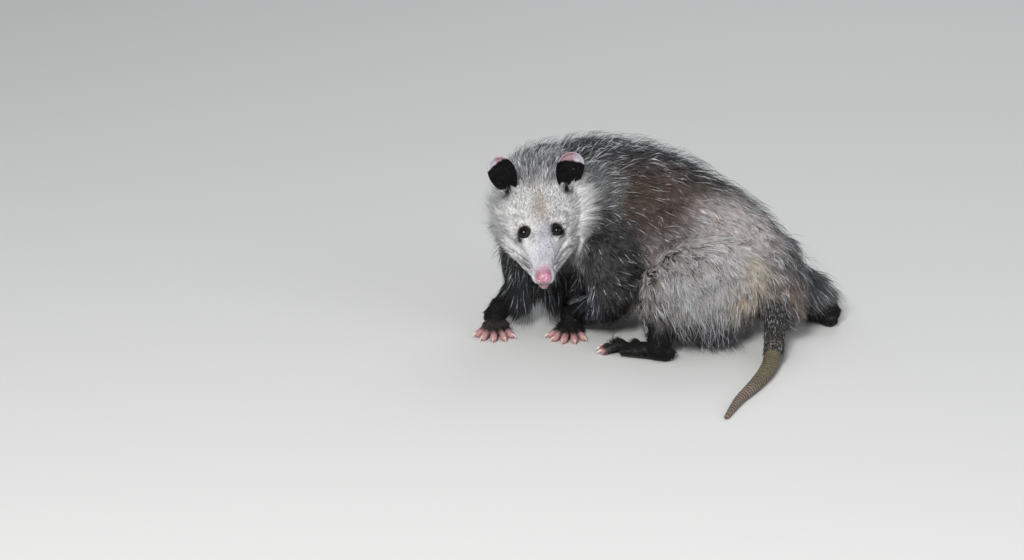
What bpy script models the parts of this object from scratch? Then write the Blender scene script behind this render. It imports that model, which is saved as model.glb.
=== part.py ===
"""A life-size opossum, crouched with its body curled round to its left and its head lowered.

Metres, +Z up. The animal stands on z = 0, looks towards -Y, and its trunk runs off towards +X.
Every form is the core of the body: the flesh with the lower half of the coat. The upper half of
the coat is set on it as flat, tapered locks that lie along the fur.
"""

import math
import random
from collections import namedtuple

import bmesh
import bpy
import numpy as np
from mathutils import Matrix, Vector
from mathutils.bvhtree import BVHTree

GAP = 0.0003
SEED = 10

# The head, in its own frame: x to the animal's left, y back from the nose tip, z up from the snout.
NOSE_TIP = Vector((-0.1368, -0.070, 0.0872))
HEAD_PITCH = math.radians(28)
HEAD_LEAN = math.radians(3.5)
VIEW_RISE = math.radians(18)
NECK_CUT = 0.112
EYE_RADIUS = 0.0071
EYE = Vector((0.0148, 0.0508, 0.0185))
EYE_FACING = Vector((0.42, -0.44, 0.78))
EYE_BULGE = 0.0033
LID_WALL = 0.0012
EAR_ROOT = Vector((0.0332, 0.1040, 0.0430))
EAR_RISE = Vector((0.06, 0.21, 0.91))
EAR_FACING = Vector((0.30, -0.94, 0.14))
EAR_SPLAY = 0.03
EAR_HEIGHT = 0.038
EAR_WIDTH = 0.0325
EAR_WIDEST = 0.60
EAR_NARROWING = 0.66
EAR_WALL = 0.0014
EAR_CURL = 0.0075
EAR_SINK = 0.006
NOSE_PAD = Vector((0.0086, 0.0072, 0.0066))
NOSTRIL = Vector((0.0046, -0.0040, 0.0002))
NOSTRIL_SIZE = Vector((0.0018, 0.0030, 0.0016))
PHILTRUM = Vector((0.0005, 0.0012, 0.0030))

# The feet: the ground below wrist or ankle, and the way the toes point in degrees round from -Y.
FOREFOOT_LEFT_HEADING = -16
FOREFOOT_RIGHT_HEADING = -5
HINDFOOT_LEFT_HEADING = -114
HINDFOOT_RIGHT_HEADING = -152
PALM = Vector((0.0135, 0.0135, 0.0095))
PALM_REACH = 0.013
FINGER_ANGLES = (-46, -22, 0, 22, 46)
FINGER_REACHES = (0.0235, 0.0280, 0.0295, 0.0280, 0.0235)
FINGER_RADIUS = 0.0040
TOE_ANGLES = (-26, -9, 8, 25)
TOE_REACHES = (0.0235, 0.0260, 0.0260, 0.0235)
TOE_RADIUS = 0.0040
THUMB_ANGLE = 76
THUMB_REACH = 0.0250
CLAW_LENGTH = 0.0070
CLAW_RADIUS = 0.0015


# Stations of each form: x, y, z of its middle, half width, height above, depth below.
HEAD = (
    (0, 0.003, 0.0010, 0.0078, 0.0065, 0.0070),
    (0, 0.016, 0.0030, 0.0112, 0.0110, 0.0130),
    (0, 0.028, 0.0050, 0.0152, 0.0150, 0.0165),
    (0, 0.044, 0.0080, 0.0228, 0.0220, 0.0225),
    (0, 0.062, 0.0120, 0.0350, 0.0290, 0.0310),
    (0, 0.082, 0.0160, 0.0452, 0.0355, 0.0410),
    (0, 0.101, 0.0180, 0.0475, 0.0390, 0.0460),
    (0, 0.122, 0.0200, 0.0430, 0.0380, 0.0450),
)
CHEEKS = (
    (0, 0.0050, -0.0060, 0.0080, 0.0060, 0.0045),
    (0, 0.0130, -0.0075, 0.0138, 0.0095, 0.0060),
    (0, 0.0300, -0.0090, 0.0238, 0.0140, 0.0075),
    (0, 0.0460, -0.0095, 0.0322, 0.0190, 0.0100),
    (0, 0.0600, -0.0085, 0.0392, 0.0245, 0.0140),
    (0, 0.0760, -0.0050, 0.0448, 0.0290, 0.0190),
    (0, 0.0920, 0.0000, 0.0470, 0.0310, 0.0230),
    (0, 0.1060, 0.0060, 0.0400, 0.0260, 0.0220),
)
JAW = (
    (0, 0.0040, -0.0135, 0.0030, 0.0030, 0.0050),
    (0, 0.0062, -0.0135, 0.0054, 0.0045, 0.0080),
    (0, 0.0200, -0.0140, 0.0086, 0.0065, 0.0090),
    (0, 0.0400, -0.0145, 0.0130, 0.0080, 0.0082),
    (0, 0.0600, -0.0150, 0.0200, 0.0085, 0.0092),
    (0, 0.0760, -0.0150, 0.0220, 0.0085, 0.0085),
)
TRUNK = (
    (-0.143, 0.004, 0.098, 0.027, 0.030, 0.078),
    (-0.128, 0.026, 0.108, 0.056, 0.082, 0.086),
    (-0.088, 0.050, 0.110, 0.076, 0.093, 0.080),
    (-0.020, 0.054, 0.104, 0.083, 0.087, 0.080),
    (0.045, 0.038, 0.090, 0.079, 0.068, 0.067),
    (0.088, 0.012, 0.075, 0.064, 0.053, 0.053),
    (0.114, -0.014, 0.058, 0.044, 0.037, 0.038),
    (0.128, -0.032, 0.046, 0.022, 0.020, 0.024),
)
NECK = (
    (-0.1385, 0.004, 0.150, 0.046, 0.046, 0.044),
    (-0.135, 0.026, 0.146, 0.056, 0.056, 0.052),
    (-0.122, 0.048, 0.132, 0.064, 0.064, 0.060),
)
THIGH_LEFT = (
    (0.075, -0.022, 0.082, 0.036, 0.040, 0.046),
    (0.045, -0.045, 0.076, 0.040, 0.052, 0.054),
    (0.006, -0.060, 0.073, 0.038, 0.049, 0.046),
    (-0.024, -0.063, 0.070, 0.026, 0.032, 0.032),
)
SHIN_LEFT = (
    (-0.016, -0.063, 0.066, 0.022, 0.022, 0.022),
    (-0.010, -0.072, 0.040, 0.0185, 0.0185, 0.0185),
    (-0.012, -0.078, 0.0250, 0.0140, 0.0140, 0.0140),
    (-0.013, -0.080, 0.0170, 0.0120, 0.0120, 0.0120),
)
THIGH_RIGHT = (
    (0.098, 0.022, 0.072, 0.036, 0.040, 0.042),
    (0.108, 0.048, 0.066, 0.036, 0.042, 0.044),
    (0.118, 0.070, 0.058, 0.028, 0.032, 0.034),
    (0.124, 0.084, 0.052, 0.018, 0.020, 0.020),
)
SHIN_RIGHT = (
    (0.128, 0.078, 0.050, 0.0200, 0.0200, 0.0200),
    (0.156, 0.056, 0.038, 0.0185, 0.0185, 0.0185),
    (0.174, 0.040, 0.0250, 0.0145, 0.0145, 0.0145),
    (0.179, 0.036, 0.0180, 0.0120, 0.0120, 0.0120),
)
ARM_LEFT = (
    (-0.070, 0.012, 0.110, 0.036, 0.036, 0.036),
    (-0.058, -0.006, 0.074, 0.032, 0.032, 0.032),
    (-0.063, -0.011, 0.045, 0.024, 0.024, 0.024),
    (-0.079, 0.000, 0.0300, 0.0160, 0.0160, 0.0160),
    (-0.094, 0.009, 0.0225, 0.0130, 0.0130, 0.0130),
    (-0.102, 0.014, 0.0190, 0.0110, 0.0110, 0.0110),
)
ARM_RIGHT = (
    (-0.147, 0.050, 0.110, 0.030, 0.030, 0.030),
    (-0.156, 0.042, 0.076, 0.027, 0.027, 0.027),
    (-0.161, 0.038, 0.050, 0.0200, 0.0200, 0.0200),
    (-0.171, 0.031, 0.0345, 0.0155, 0.0155, 0.0155),
    (-0.182, 0.025, 0.0245, 0.0128, 0.0128, 0.0128),
    (-0.187, 0.021, 0.0190, 0.0110, 0.0110, 0.0110),
)
# Where the body is parted: ellipsoids by middle and radii, and flat cuts by point and direction.
THIGH_LEFT_PART = ((0.030, -0.085, 0.070), (0.088, 0.058, 0.076))
THIGH_RIGHT_PART = ((0.126, 0.092, 0.058), (0.052, 0.060, 0.062))
ARM_LEFT_PART = ((-0.062, -0.036, 0.072), (0.040, 0.040, 0.050))
ARM_RIGHT_PART = ((-0.179, 0.040, 0.076), (0.036, 0.036, 0.056))
FOREARM_LEFT_PART = ((-0.0915, 0.007, 0.020), (0.0275, 0.0265, 0.0225))
NECK_PART = ((-0.137, -0.030, 0.150), (0.080, 0.080, 0.080))
KNEE_LEFT = ((-0.022, -0.070, 0.050), (-0.75, -0.15, -0.65), 0.043)
KNEE_RIGHT = ((0.152, 0.059, 0.040), (0.75, -0.60, -0.35), 0.026)
ELBOW_RIGHT = ((-0.169, 0.0335, 0.040), (-0.30, -0.40, -0.85), 0.024)
TAIL_LENGTHS = 5

# Stations of the tail: x, y, z of its middle and its radius.
TAIL = (
    (0.104, -0.014, 0.060, 0.0105),
    (0.112, -0.040, 0.044, 0.0102),
    (0.111, -0.068, 0.0260, 0.0098),
    (0.107, -0.100, 0.0106, 0.0092),
    (0.097, -0.138, 0.0076, 0.0081),
    (0.0815, -0.176, 0.0062, 0.0067),
    (0.062, -0.216, 0.0044, 0.0049),
    (0.0465, -0.258, 0.0023, 0.0027),
)


# The upper coat of each furred node, as locks in metres and degrees: how far apart their roots are,
# their length, width and thickness, how steeply they rise, how much they bend back, how far they droop
# and spread out from the line that they follow.
Coat = namedtuple("Coat", "spacing length width thickness lift bend droop spread path")
COAT_SIZES = {
    "head": (0.0135, 0.022, 0.0130, 0.0032, 48, 0.35, 0.1, 0.0),
    "arm_left": (0.024, 0.030, 0.019, 0.0040, 22, 1.1, 0.0, 0.0),
    "arm_right": (0.024, 0.030, 0.019, 0.0040, 22, 1.1, 0.0, 0.0),
    "thigh_left": (0.029, 0.054, 0.028, 0.0050, 24, 1.1, 0.9, 0.0),
    "thigh_right": (0.030, 0.048, 0.027, 0.0050, 26, 1.1, 0.7, 0.0),
    "torso": (0.0340, 0.062, 0.034, 0.0058, 26, 1.15, 0.45, 0.0),
    "neck": (0.020, 0.038, 0.020, 0.0042, 28, 0.9, 0.1, 1.0),
}
LOCK_RINGS = ((0.0, 0.62), (0.3, 1.0), (0.6, 0.86), (0.8, 0.52))
LOCK_STEPS = 10
LOCK_SINK = 0.0055
LOCK_BEND = 0.30
LOCK_SIZES = (0.86, 1.14)
# What is tried for a lock that meets a neighbour: degrees more of rise, and share of its length.
LOCK_TRIALS = ((0, 1.0), (8, 0.85), (16, 0.7), (26, 0.6), (40, 0.5))
ROOT_TRIES = 26
RETRY_SHARE = 0.35
RUFF_FROM = 0.062
RUFF_TOP = 0.034
BARE_ROOM = 0.010
OUTER_DISTANCE = 0.00005
FLOOR_CLEAR = 0.0015
FLOOR_REACH = 0.4
SLIVER = 0.00004
BODY_TRIANGLES = 1500
HEAD_TRIANGLES = 1000
BROW = Vector((0.0170, 0.0610, 0.0315))
BROW_SIZE = (0.0100, 0.0120, 0.0060)
MUZZLE = Vector((0.0058, 0.0112, -0.0045))
MUZZLE_SIZE = (0.0066, 0.0100, 0.0080)

# The sole of a hind foot: distance ahead of the heel, height, half width, height above, depth below.
SOLE = (
    (-0.0150, 0.0070, 0.0030, 0.0025, 0.0040),
    (-0.0125, 0.0080, 0.0066, 0.0060, 0.0085),
    (-0.0050, 0.0090, 0.0092, 0.0085, 0.0100),
    (0.0120, 0.0085, 0.0100, 0.0085, 0.0095),
    (0.0280, 0.0075, 0.0125, 0.0068, 0.0085),
    (0.0400, 0.0065, 0.0130, 0.0055, 0.0072),
)
BALL_REACH = 0.0360


# Colour and roughness of each sort of node.
FINISHES = {
    "head": ((0.78, 0.75, 0.70), 0.8),
    "jaw": ((0.80, 0.76, 0.71), 0.8),
    "nose": ((0.80, 0.36, 0.38), 0.4),
    "ear": ((0.030, 0.026, 0.028), 0.5),
    "eye": ((0.010, 0.008, 0.008), 0.1),
    "neck": ((0.45, 0.42, 0.38), 0.85),
    "torso": ((0.30, 0.27, 0.24), 0.85),
    "thigh": ((0.55, 0.50, 0.42), 0.85),
    "shin": ((0.05, 0.045, 0.04), 0.85),
    "arm": ((0.06, 0.055, 0.05), 0.85),
    "forearm": ((0.04, 0.035, 0.032), 0.85),
    "forefoot": ((0.62, 0.36, 0.31), 0.6),
    "hindfoot": ((0.30, 0.19, 0.16), 0.6),
    "tail": ((0.40, 0.31, 0.22), 0.6),
}


def clear_scene():
    """Removes whatever the scene holds."""
    for obj in list(bpy.data.objects):
        bpy.data.objects.remove(obj)


def material(name, colour, roughness, metallic=0.0):
    """A Principled material of one colour."""
    made = bpy.data.materials.new(name)
    made.use_nodes = True
    shader = made.node_tree.nodes["Principled BSDF"]
    shader.inputs["Base Color"].default_value = (*colour, 1)
    shader.inputs["Roughness"].default_value = roughness
    shader.inputs["Metallic"].default_value = metallic
    return made


def head_frame():
    """The matrix from the head's own frame to the world."""
    back = Vector((0, math.cos(HEAD_PITCH), math.sin(HEAD_PITCH)))
    rise = Vector((0, -math.sin(HEAD_PITCH), math.cos(HEAD_PITCH)))
    basis = Matrix((Vector((1, 0, 0)), back, rise)).transposed().to_4x4()
    to_viewer = Vector((0, -math.cos(VIEW_RISE), math.sin(VIEW_RISE)))
    lean = Matrix.Rotation(HEAD_LEAN, 4, to_viewer)
    return Matrix.Translation(NOSE_TIP) @ lean @ basis


def spline(rows, per_span):
    """Rows of numbers on a smooth curve through the given rows."""
    rows = [np.array(row, float) for row in rows]
    ends = [2 * rows[0] - rows[1], *rows, 2 * rows[-1] - rows[-2]]
    found = []
    for a, b, c, d in zip(ends, ends[1:], ends[2:], ends[3:]):
        for step in range(per_span):
            t = step / per_span
            cubic = 3 * b - a - 3 * c + d
            found.append(0.5 * (2 * b + (c - a) * t + (2 * a - 5 * b + 4 * c - d) * t**2 + cubic * t**3))
    found.append(rows[-1])
    return found


def mesh_object(name, points, faces):
    """A new object in the scene from points and faces."""
    mesh = bpy.data.meshes.new(name)
    mesh.from_pydata([tuple(p) for p in points], [], faces)
    mesh.update()
    obj = bpy.data.objects.new(name, mesh)
    bpy.context.scene.collection.objects.link(obj)
    return obj


def loft(name, stations, sides=20, per_span=3, matrix=None):
    """A closed form through unlike sections, each an oval square to the line of their middles."""
    rows = spline(stations, per_span)
    middles = [Vector(row[:3]) for row in rows]
    points = []
    for i, row in enumerate(rows):
        along = (middles[min(i + 1, len(rows) - 1)] - middles[max(i - 1, 0)]).normalized()
        upright = Vector((0, 0, 1)) if abs(along.z) < 0.8 else Vector((0, -1, 0))
        side = along.cross(upright).normalized()
        top = side.cross(along)
        half_width, above, below = row[3:6]
        for j in range(sides):
            turn = 2 * math.pi * j / sides
            height = math.sin(turn) * (above if math.sin(turn) > 0 else below)
            points.append(middles[i] + side * half_width * math.cos(turn) + top * height)
    faces = []
    for i in range(len(rows) - 1):
        for j in range(sides):
            k = (j + 1) % sides
            faces.append((i * sides + j, i * sides + k, (i + 1) * sides + k, (i + 1) * sides + j))
    faces.append(tuple(range(sides))[::-1])
    faces.append(tuple(range((len(rows) - 1) * sides, len(rows) * sides)))
    obj = mesh_object(name, points, faces)
    turn_outwards(obj.data)
    if matrix is not None:
        obj.data.transform(matrix)
    return obj


def turn_outwards(mesh):
    """Points every face of a closed mesh out."""
    work = bmesh.new()
    work.from_mesh(mesh)
    bmesh.ops.recalc_face_normals(work, faces=work.faces)
    if work.calc_volume(signed=True) < 0:
        bmesh.ops.reverse_faces(work, faces=work.faces)
    work.to_mesh(mesh)
    work.free()


def oval(name, middle, radii, matrix=None, segments=20, rings=12):
    """A closed ellipsoid about a middle, with radii along x, y and z."""
    mesh = bpy.data.meshes.new(name)
    work = bmesh.new()
    bmesh.ops.create_uvsphere(work, u_segments=segments, v_segments=rings, radius=1)
    bmesh.ops.scale(work, vec=Vector(radii), verts=work.verts)
    bmesh.ops.translate(work, vec=Vector(middle), verts=work.verts)
    work.to_mesh(mesh)
    work.free()
    if matrix is not None:
        mesh.transform(matrix)
    obj = bpy.data.objects.new(name, mesh)
    bpy.context.scene.collection.objects.link(obj)
    return obj


def settle(obj):
    """Makes the object's modifiers part of its mesh."""
    bpy.context.view_layer.update()
    graph = bpy.context.evaluated_depsgraph_get()
    made = bpy.data.meshes.new_from_object(obj.evaluated_get(graph))
    obj.modifiers.clear()
    obj.data = made
    return obj


def largest_body(obj):
    """Keeps only the mesh's largest closed surface."""
    work = bmesh.new()
    work.from_mesh(obj.data)
    left = set(work.faces)
    bodies = []
    while left:
        found = {left.pop()}
        rim = list(found)
        while rim:
            shared = [e for face in rim for e in face.edges if len(e.link_faces) == 2]
            near = {face for e in shared for face in e.link_faces} - found
            found |= near
            rim = list(near)
        left -= found
        bodies.append(found)
    bodies.sort(key=extent, reverse=True)
    scraps = [face for body in bodies[1:] for face in body]
    bmesh.ops.delete(work, geom=scraps, context="FACES")
    work.to_mesh(obj.data)
    work.free()
    return obj


def extent(faces):
    """The diagonal of the box round a set of faces."""
    places = np.array([v.co for face in faces for v in face.verts])
    return float(np.linalg.norm(places.max(0) - places.min(0)))


def boolean(obj, others, operation, solver="MANIFOLD"):
    """Joins other closed objects to this one, or cuts them from it, in one step, and removes them."""
    group = bpy.data.collections.new("operands")
    bpy.context.scene.collection.children.link(group)
    for other in others:
        for home in list(other.users_collection):
            home.objects.unlink(other)
        group.objects.link(other)
    modifier = obj.modifiers.new("boolean", "BOOLEAN")
    modifier.operation = operation
    modifier.operand_type = "COLLECTION"
    modifier.collection = group
    modifier.solver = solver
    settle(obj)
    for other in list(group.objects):
        bpy.data.objects.remove(other)
    bpy.data.collections.remove(group)
    return obj


def joined(obj, others):
    """The object with others fused to it, as one closed surface."""
    return largest_body(boolean(obj, others, "UNION"))


def cut(obj, cutters):
    """The object with cutters taken from it one after another, as one closed surface."""
    for cutter in cutters:
        boolean(obj, [cutter], "DIFFERENCE")
    return largest_body(obj)


def copied(obj, name="cutter"):
    """A copy of the object with a mesh of its own."""
    made = bpy.data.objects.new(name, obj.data.copy())
    bpy.context.scene.collection.objects.link(made)
    return made


def grown(obj, amount=1.5 * GAP):
    """A copy of the object that stands out all round by an amount."""
    made = copied(obj)
    count = len(made.data.vertices)
    places = np.empty(3 * count)
    normals = np.empty(3 * count)
    made.data.vertices.foreach_get("co", places)
    made.data.vertices.foreach_get("normal", normals)
    made.data.vertices.foreach_set("co", places + amount * normals)
    made.data.update()
    return made


def surfaces(obj):
    """The sets of vertex indices that make up each closed surface of the object."""
    parent = list(range(len(obj.data.vertices)))

    def root(i):
        while parent[i] != i:
            parent[i] = parent[parent[i]]
            i = parent[i]
        return i

    for edge in obj.data.edges:
        a, b = edge.vertices
        parent[root(a)] = root(b)
    groups = {}
    for i in range(len(parent)):
        groups.setdefault(root(i), set()).add(i)
    return list(groups.values())


def part_off(obj, cutter, name, seed):
    """Divides the object with a thin cutter. The piece nearest the seed becomes an object of its own."""
    boolean(obj, [cutter], "DIFFERENCE")
    seed = Vector(seed)

    def reach(group):
        return min((obj.data.vertices[i].co - seed).length for i in group)

    taken = min(surfaces(obj), key=reach)
    piece = copied(obj, name)
    for target, dropped in ((piece, False), (obj, True)):
        work = bmesh.new()
        work.from_mesh(target.data)
        gone = [v for v in work.verts if (v.index in taken) == dropped]
        bmesh.ops.delete(work, geom=gone, context="VERTS")
        work.to_mesh(target.data)
        work.free()
    largest_body(obj)
    return piece


def shell(middle, radii, segments=16, rings=10):
    """A closed wall as thin as the gap, in the shape of an ellipsoid."""
    work = bmesh.new()
    for side in (1, -1):
        outline = oval("side", middle, [r + side * GAP / 2 for r in radii], None, segments, rings)
        if side < 0:
            outline.data.flip_normals()
        work.from_mesh(outline.data)
        bpy.data.objects.remove(outline)
    mesh = bpy.data.meshes.new("cutter")
    work.to_mesh(mesh)
    work.free()
    obj = bpy.data.objects.new("cutter", mesh)
    bpy.context.scene.collection.objects.link(obj)
    return obj


def block(point, direction, reach):
    """A cube that fills what lies beyond a plane, as far as its reach."""
    mesh = bpy.data.meshes.new("cutter")
    work = bmesh.new()
    bmesh.ops.create_cube(work, size=2 * reach)
    bmesh.ops.translate(work, vec=Vector((0, 0, reach)), verts=work.verts)
    work.to_mesh(mesh)
    work.free()
    turn = Vector(direction).to_track_quat("Z", "Y").to_matrix().to_4x4()
    mesh.transform(Matrix.Translation(Vector(point)) @ turn)
    obj = bpy.data.objects.new("cutter", mesh)
    bpy.context.scene.collection.objects.link(obj)
    return obj


def melded(name, pieces, voxel, rounds, triangles):
    """One smooth closed form round several: joined, remeshed, smoothed and brought to a triangle count."""
    work = bmesh.new()
    for piece in pieces:
        work.from_mesh(piece.data)
        bpy.data.objects.remove(piece)
    mesh = bpy.data.meshes.new(name)
    work.to_mesh(mesh)
    work.free()
    obj = bpy.data.objects.new(name, mesh)
    bpy.context.scene.collection.objects.link(obj)
    remesh = obj.modifiers.new("remesh", "REMESH")
    remesh.mode = "VOXEL"
    remesh.voxel_size = voxel
    smooth = obj.modifiers.new("smooth", "SMOOTH")
    smooth.factor = 0.5
    smooth.iterations = rounds
    settle(obj)
    decimate = obj.modifiers.new("decimate", "DECIMATE")
    decimate.ratio = triangles / (2 * len(obj.data.polygons))
    settle(obj)
    return largest_body(obj)


def disc(middle, facing, radius, thickness=GAP, sides=32):
    """A thin round cutter square to a direction."""
    mesh = bpy.data.meshes.new("cutter")
    work = bmesh.new()
    bmesh.ops.create_cone(
        work, cap_ends=True, segments=sides, radius1=radius, radius2=radius, depth=thickness
    )
    work.to_mesh(mesh)
    work.free()
    turn = Vector(facing).to_track_quat("Z", "Y").to_matrix().to_4x4()
    mesh.transform(Matrix.Translation(Vector(middle)) @ turn)
    obj = bpy.data.objects.new("cutter", mesh)
    bpy.context.scene.collection.objects.link(obj)
    return obj


def body_core():
    """Trunk, neck and limbs to wrist and ankle as one smooth form."""
    pieces = [
        loft("trunk", TRUNK),
        loft("neck", NECK),
        loft("thigh_left", THIGH_LEFT),
        loft("shin_left", SHIN_LEFT),
        loft("thigh_right", THIGH_RIGHT),
        loft("shin_right", SHIN_RIGHT),
        loft("arm_left", ARM_LEFT),
        loft("arm_right", ARM_RIGHT),
    ]
    return melded("torso", pieces, 0.0035, 5, BODY_TRIANGLES)


def head_core():
    """The head from the snout to a flat back inside the neck, with cheeks, brows and the swell of the muzzle."""
    frame = head_frame()
    pieces = [loft("skull", HEAD, 24, 4, frame), loft("cheeks", CHEEKS, 24, 4, frame)]
    for side in (1, -1):
        brow = Vector((side * BROW.x, BROW.y, BROW.z))
        muzzle = Vector((side * MUZZLE.x, MUZZLE.y, MUZZLE.z))
        pieces.append(oval("brow", brow, BROW_SIZE, frame))
        pieces.append(oval("muzzle", muzzle, MUZZLE_SIZE, frame))
    head = melded("head", pieces, 0.0018, 3, HEAD_TRIANGLES)
    back = frame.to_3x3() @ Vector((0, 1, 0))
    return cut(head, [block(frame @ Vector((0, NECK_CUT, 0)), back, 0.09)])


def surface_tree(obj):
    """A search tree of the object's surface."""
    mesh = obj.data
    return BVHTree.FromPolygons([v.co for v in mesh.vertices], [tuple(p.vertices) for p in mesh.polygons])


def eye_place(side, skin):
    """Where the eye's middle lies below the skin, and the way it looks."""
    frame = head_frame()
    facing = (frame.to_3x3() @ Vector((side * EYE_FACING.x, EYE_FACING.y, EYE_FACING.z))).normalized()
    start = frame @ Vector((side * EYE.x, EYE.y, EYE.z))
    surface = skin.ray_cast(start, facing)[0]
    return surface - facing * (EYE_RADIUS - EYE_BULGE), facing


def lid_ring(middle, facing):
    """The rounded rim of the lids, a ring round the part of the eye that shows."""
    depth = EYE_RADIUS - EYE_BULGE
    opening = math.sqrt(EYE_RADIUS**2 - depth**2) + LID_WALL * 0.55
    bpy.ops.mesh.primitive_torus_add(
        major_segments=14, minor_segments=5, major_radius=opening, minor_radius=LID_WALL
    )
    ring = bpy.context.object
    ring.name = "lids"
    turn = facing.to_track_quat("Z", "Y").to_matrix().to_4x4()
    ring.data.transform(Matrix.Translation(middle + facing * depth) @ turn)
    ring.matrix_world = Matrix.Identity(4)
    return ring


def eyes(head):
    """Both eyes as balls in sockets, each with lids that are part of the head."""
    skin = surface_tree(head)
    made = []
    rims = []
    sockets = []
    for side, name in ((1, "eye_left"), (-1, "eye_right")):
        middle, facing = eye_place(side, skin)
        turn = Matrix.Translation(middle) @ facing.to_track_quat("Z", "Y").to_matrix().to_4x4()
        made.append(oval(name, (0, 0, 0), [EYE_RADIUS] * 3, turn, 14, 8))
        sockets.append(oval("socket", (0, 0, 0), [EYE_RADIUS + 1.5 * GAP] * 3, turn, 14, 8))
        rims.append(lid_ring(middle, facing))
    joined(head, rims)
    cut(head, sockets)
    return made


def nose(head):
    """The bare pad of the nose, set in the end of the snout, with nostrils and the groove below."""
    frame = head_frame()
    pad = oval("nose", (0, 0.0035, 0.0005), NOSE_PAD, frame, 12, 8)
    cut(head, [grown(pad)])
    cutters = []
    for side in (1, -1):
        slant = Matrix.Rotation(math.radians(-35 * side), 4, "Y")
        place = frame @ Matrix.Translation((side * NOSTRIL.x, NOSTRIL.y, NOSTRIL.z)) @ slant
        cutters.append(oval("nostril", (0, 0, 0), NOSTRIL_SIZE, place, 8, 5))
    groove = frame @ Vector((0, NOSE_PAD.y * -0.5 + 0.0005, -0.0030))
    cutters.append(oval("philtrum", groove, PHILTRUM, None, 6, 5))
    cut(pad, cutters)
    return pad


def jaw(head):
    """The lower jaw, which meets the upper lips along the line of the mouth."""
    made = loft("jaw", JAW, 12, 2, head_frame())
    cut(made, [grown(head)])
    return made


def ear(side, head, name):
    """A thin cupped ear that opens forward and out, with its edges and its top curling."""
    frame = head_frame()
    rise = Vector((side * (EAR_RISE.x - side * EAR_SPLAY), EAR_RISE.y, EAR_RISE.z)).normalized()
    facing = Vector((side * EAR_FACING.x, EAR_FACING.y, EAR_FACING.z))
    facing = (facing - rise * facing.dot(rise)).normalized()
    across = facing.cross(rise)
    basis = Matrix((across, facing, rise)).transposed().to_4x4()
    root = Vector((side * EAR_ROOT.x, EAR_ROOT.y, EAR_ROOT.z))
    place = frame @ Matrix.Translation(root) @ basis
    columns, rows = 8, 7
    points = []
    for j in range(rows + 1):
        v = 0.985 * math.sin(0.5 * math.pi * j / rows)
        past = v - EAR_WIDEST
        past /= 1 - EAR_WIDEST if past > 0 else EAR_NARROWING
        swell = math.sqrt(1 - past**2)
        top = max(past, 0)
        for i in range(columns + 1):
            u = 2 * i / columns - 1
            forward = EAR_CURL * (0.90 * (u * swell) ** 2 + 0.55 * top**2)
            height = -EAR_SINK + (EAR_HEIGHT + EAR_SINK) * v
            points.append((0.5 * EAR_WIDTH * swell * u, forward, height))
    faces = []
    for j in range(rows):
        for i in range(columns):
            a = j * (columns + 1) + i
            faces.append((a, a + 1, a + columns + 2, a + columns + 1))
    made = mesh_object(name, points, faces)
    wall = made.modifiers.new("wall", "SOLIDIFY")
    wall.thickness = EAR_WALL
    wall.offset = 0
    settle(made)
    turn_outwards(made.data)
    made.data.transform(place)
    return cut(made, [grown(head)])


def claw(tip, ahead, drop=0.6):
    """A small curved claw that starts inside the end of a toe."""
    down = Vector((0, 0, -1))
    rows = []
    for t, size in ((-0.25, 1.0), (0.45, 0.8), (1.0, 0.25)):
        middle = tip + ahead * CLAW_LENGTH * t + down * CLAW_LENGTH * drop * max(t, 0) ** 2
        radius = CLAW_RADIUS * size
        rows.append((*middle, radius, radius, radius))
    return loft("claw", rows, 3, 1)


def toe(root, ahead, reach, radius, clawed=True):
    """A toe that arches from its root to the floor, with its claw."""
    rows = []
    for t, height, size in ((0.0, 2.3, 1.12), (0.42, 2.45, 1.05), (0.78, 1.55, 0.98), (1.0, 0.86, 0.92)):
        middle = Vector((root.x, root.y, 0)) + ahead * reach * t
        r = radius * size
        rows.append((middle.x, middle.y, radius * height, r, r, r))
    end = Vector(rows[-1][:3])
    tip = end + ahead * radius * 0.75
    rows.append((*tip, 0.45 * radius, 0.45 * radius, 0.45 * radius))
    pieces = [loft("toe", rows, 6, 1)]
    if clawed:
        pieces.append(claw(end + ahead * radius * 0.6 + Vector((0, 0, radius * 0.35)), ahead, 0.7))
    return pieces


def limb_end(stations):
    """The last point of a limb's stations, the way it runs there, and its radius."""
    end = Vector(stations[-1][:3])
    return end, (end - Vector(stations[-2][:3])).normalized(), stations[-1][3]


def ground_heading(degrees):
    """A direction along the floor, turned from -Y."""
    return Matrix.Rotation(math.radians(degrees), 3, "Z") @ Vector((0, -1, 0))


def floor_flat(obj):
    """Cuts flat what lies below the floor."""
    return cut(obj, [block((0, 0, 0), (0, 0, -1), FLOOR_REACH)])


def forefoot(name, stations, degrees):
    """A forefoot with its wrist, palm and five spread toes, flat on the floor."""
    wrist, run, radius = limb_end(stations)
    ahead = ground_heading(degrees)
    palm = Vector((wrist.x, wrist.y, 0)) + ahead * PALM_REACH
    turn = Matrix.Translation(palm) @ Matrix.Rotation(math.radians(degrees), 4, "Z")
    foot = oval(name, (0, 0, PALM.z * 0.85), PALM, turn, 10, 7)
    rows = []
    back, middle = wrist - run * 0.003, wrist + run * 0.004
    for place, r in ((back, radius), (middle, radius), (palm + Vector((0, 0, PALM.z * 0.9)), PALM.z * 0.9)):
        rows.append((*place, r, r, r))
    pieces = [loft("wrist", rows, 8, 1)]
    for angle, reach in zip(FINGER_ANGLES, FINGER_REACHES):
        way = ground_heading(degrees + angle)
        pieces += toe(palm + way * 0.003, way, reach, FINGER_RADIUS)
    joined(foot, pieces)
    cut(foot, [block(wrist + run * GAP, -run, 0.02)])
    return floor_flat(foot)


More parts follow.
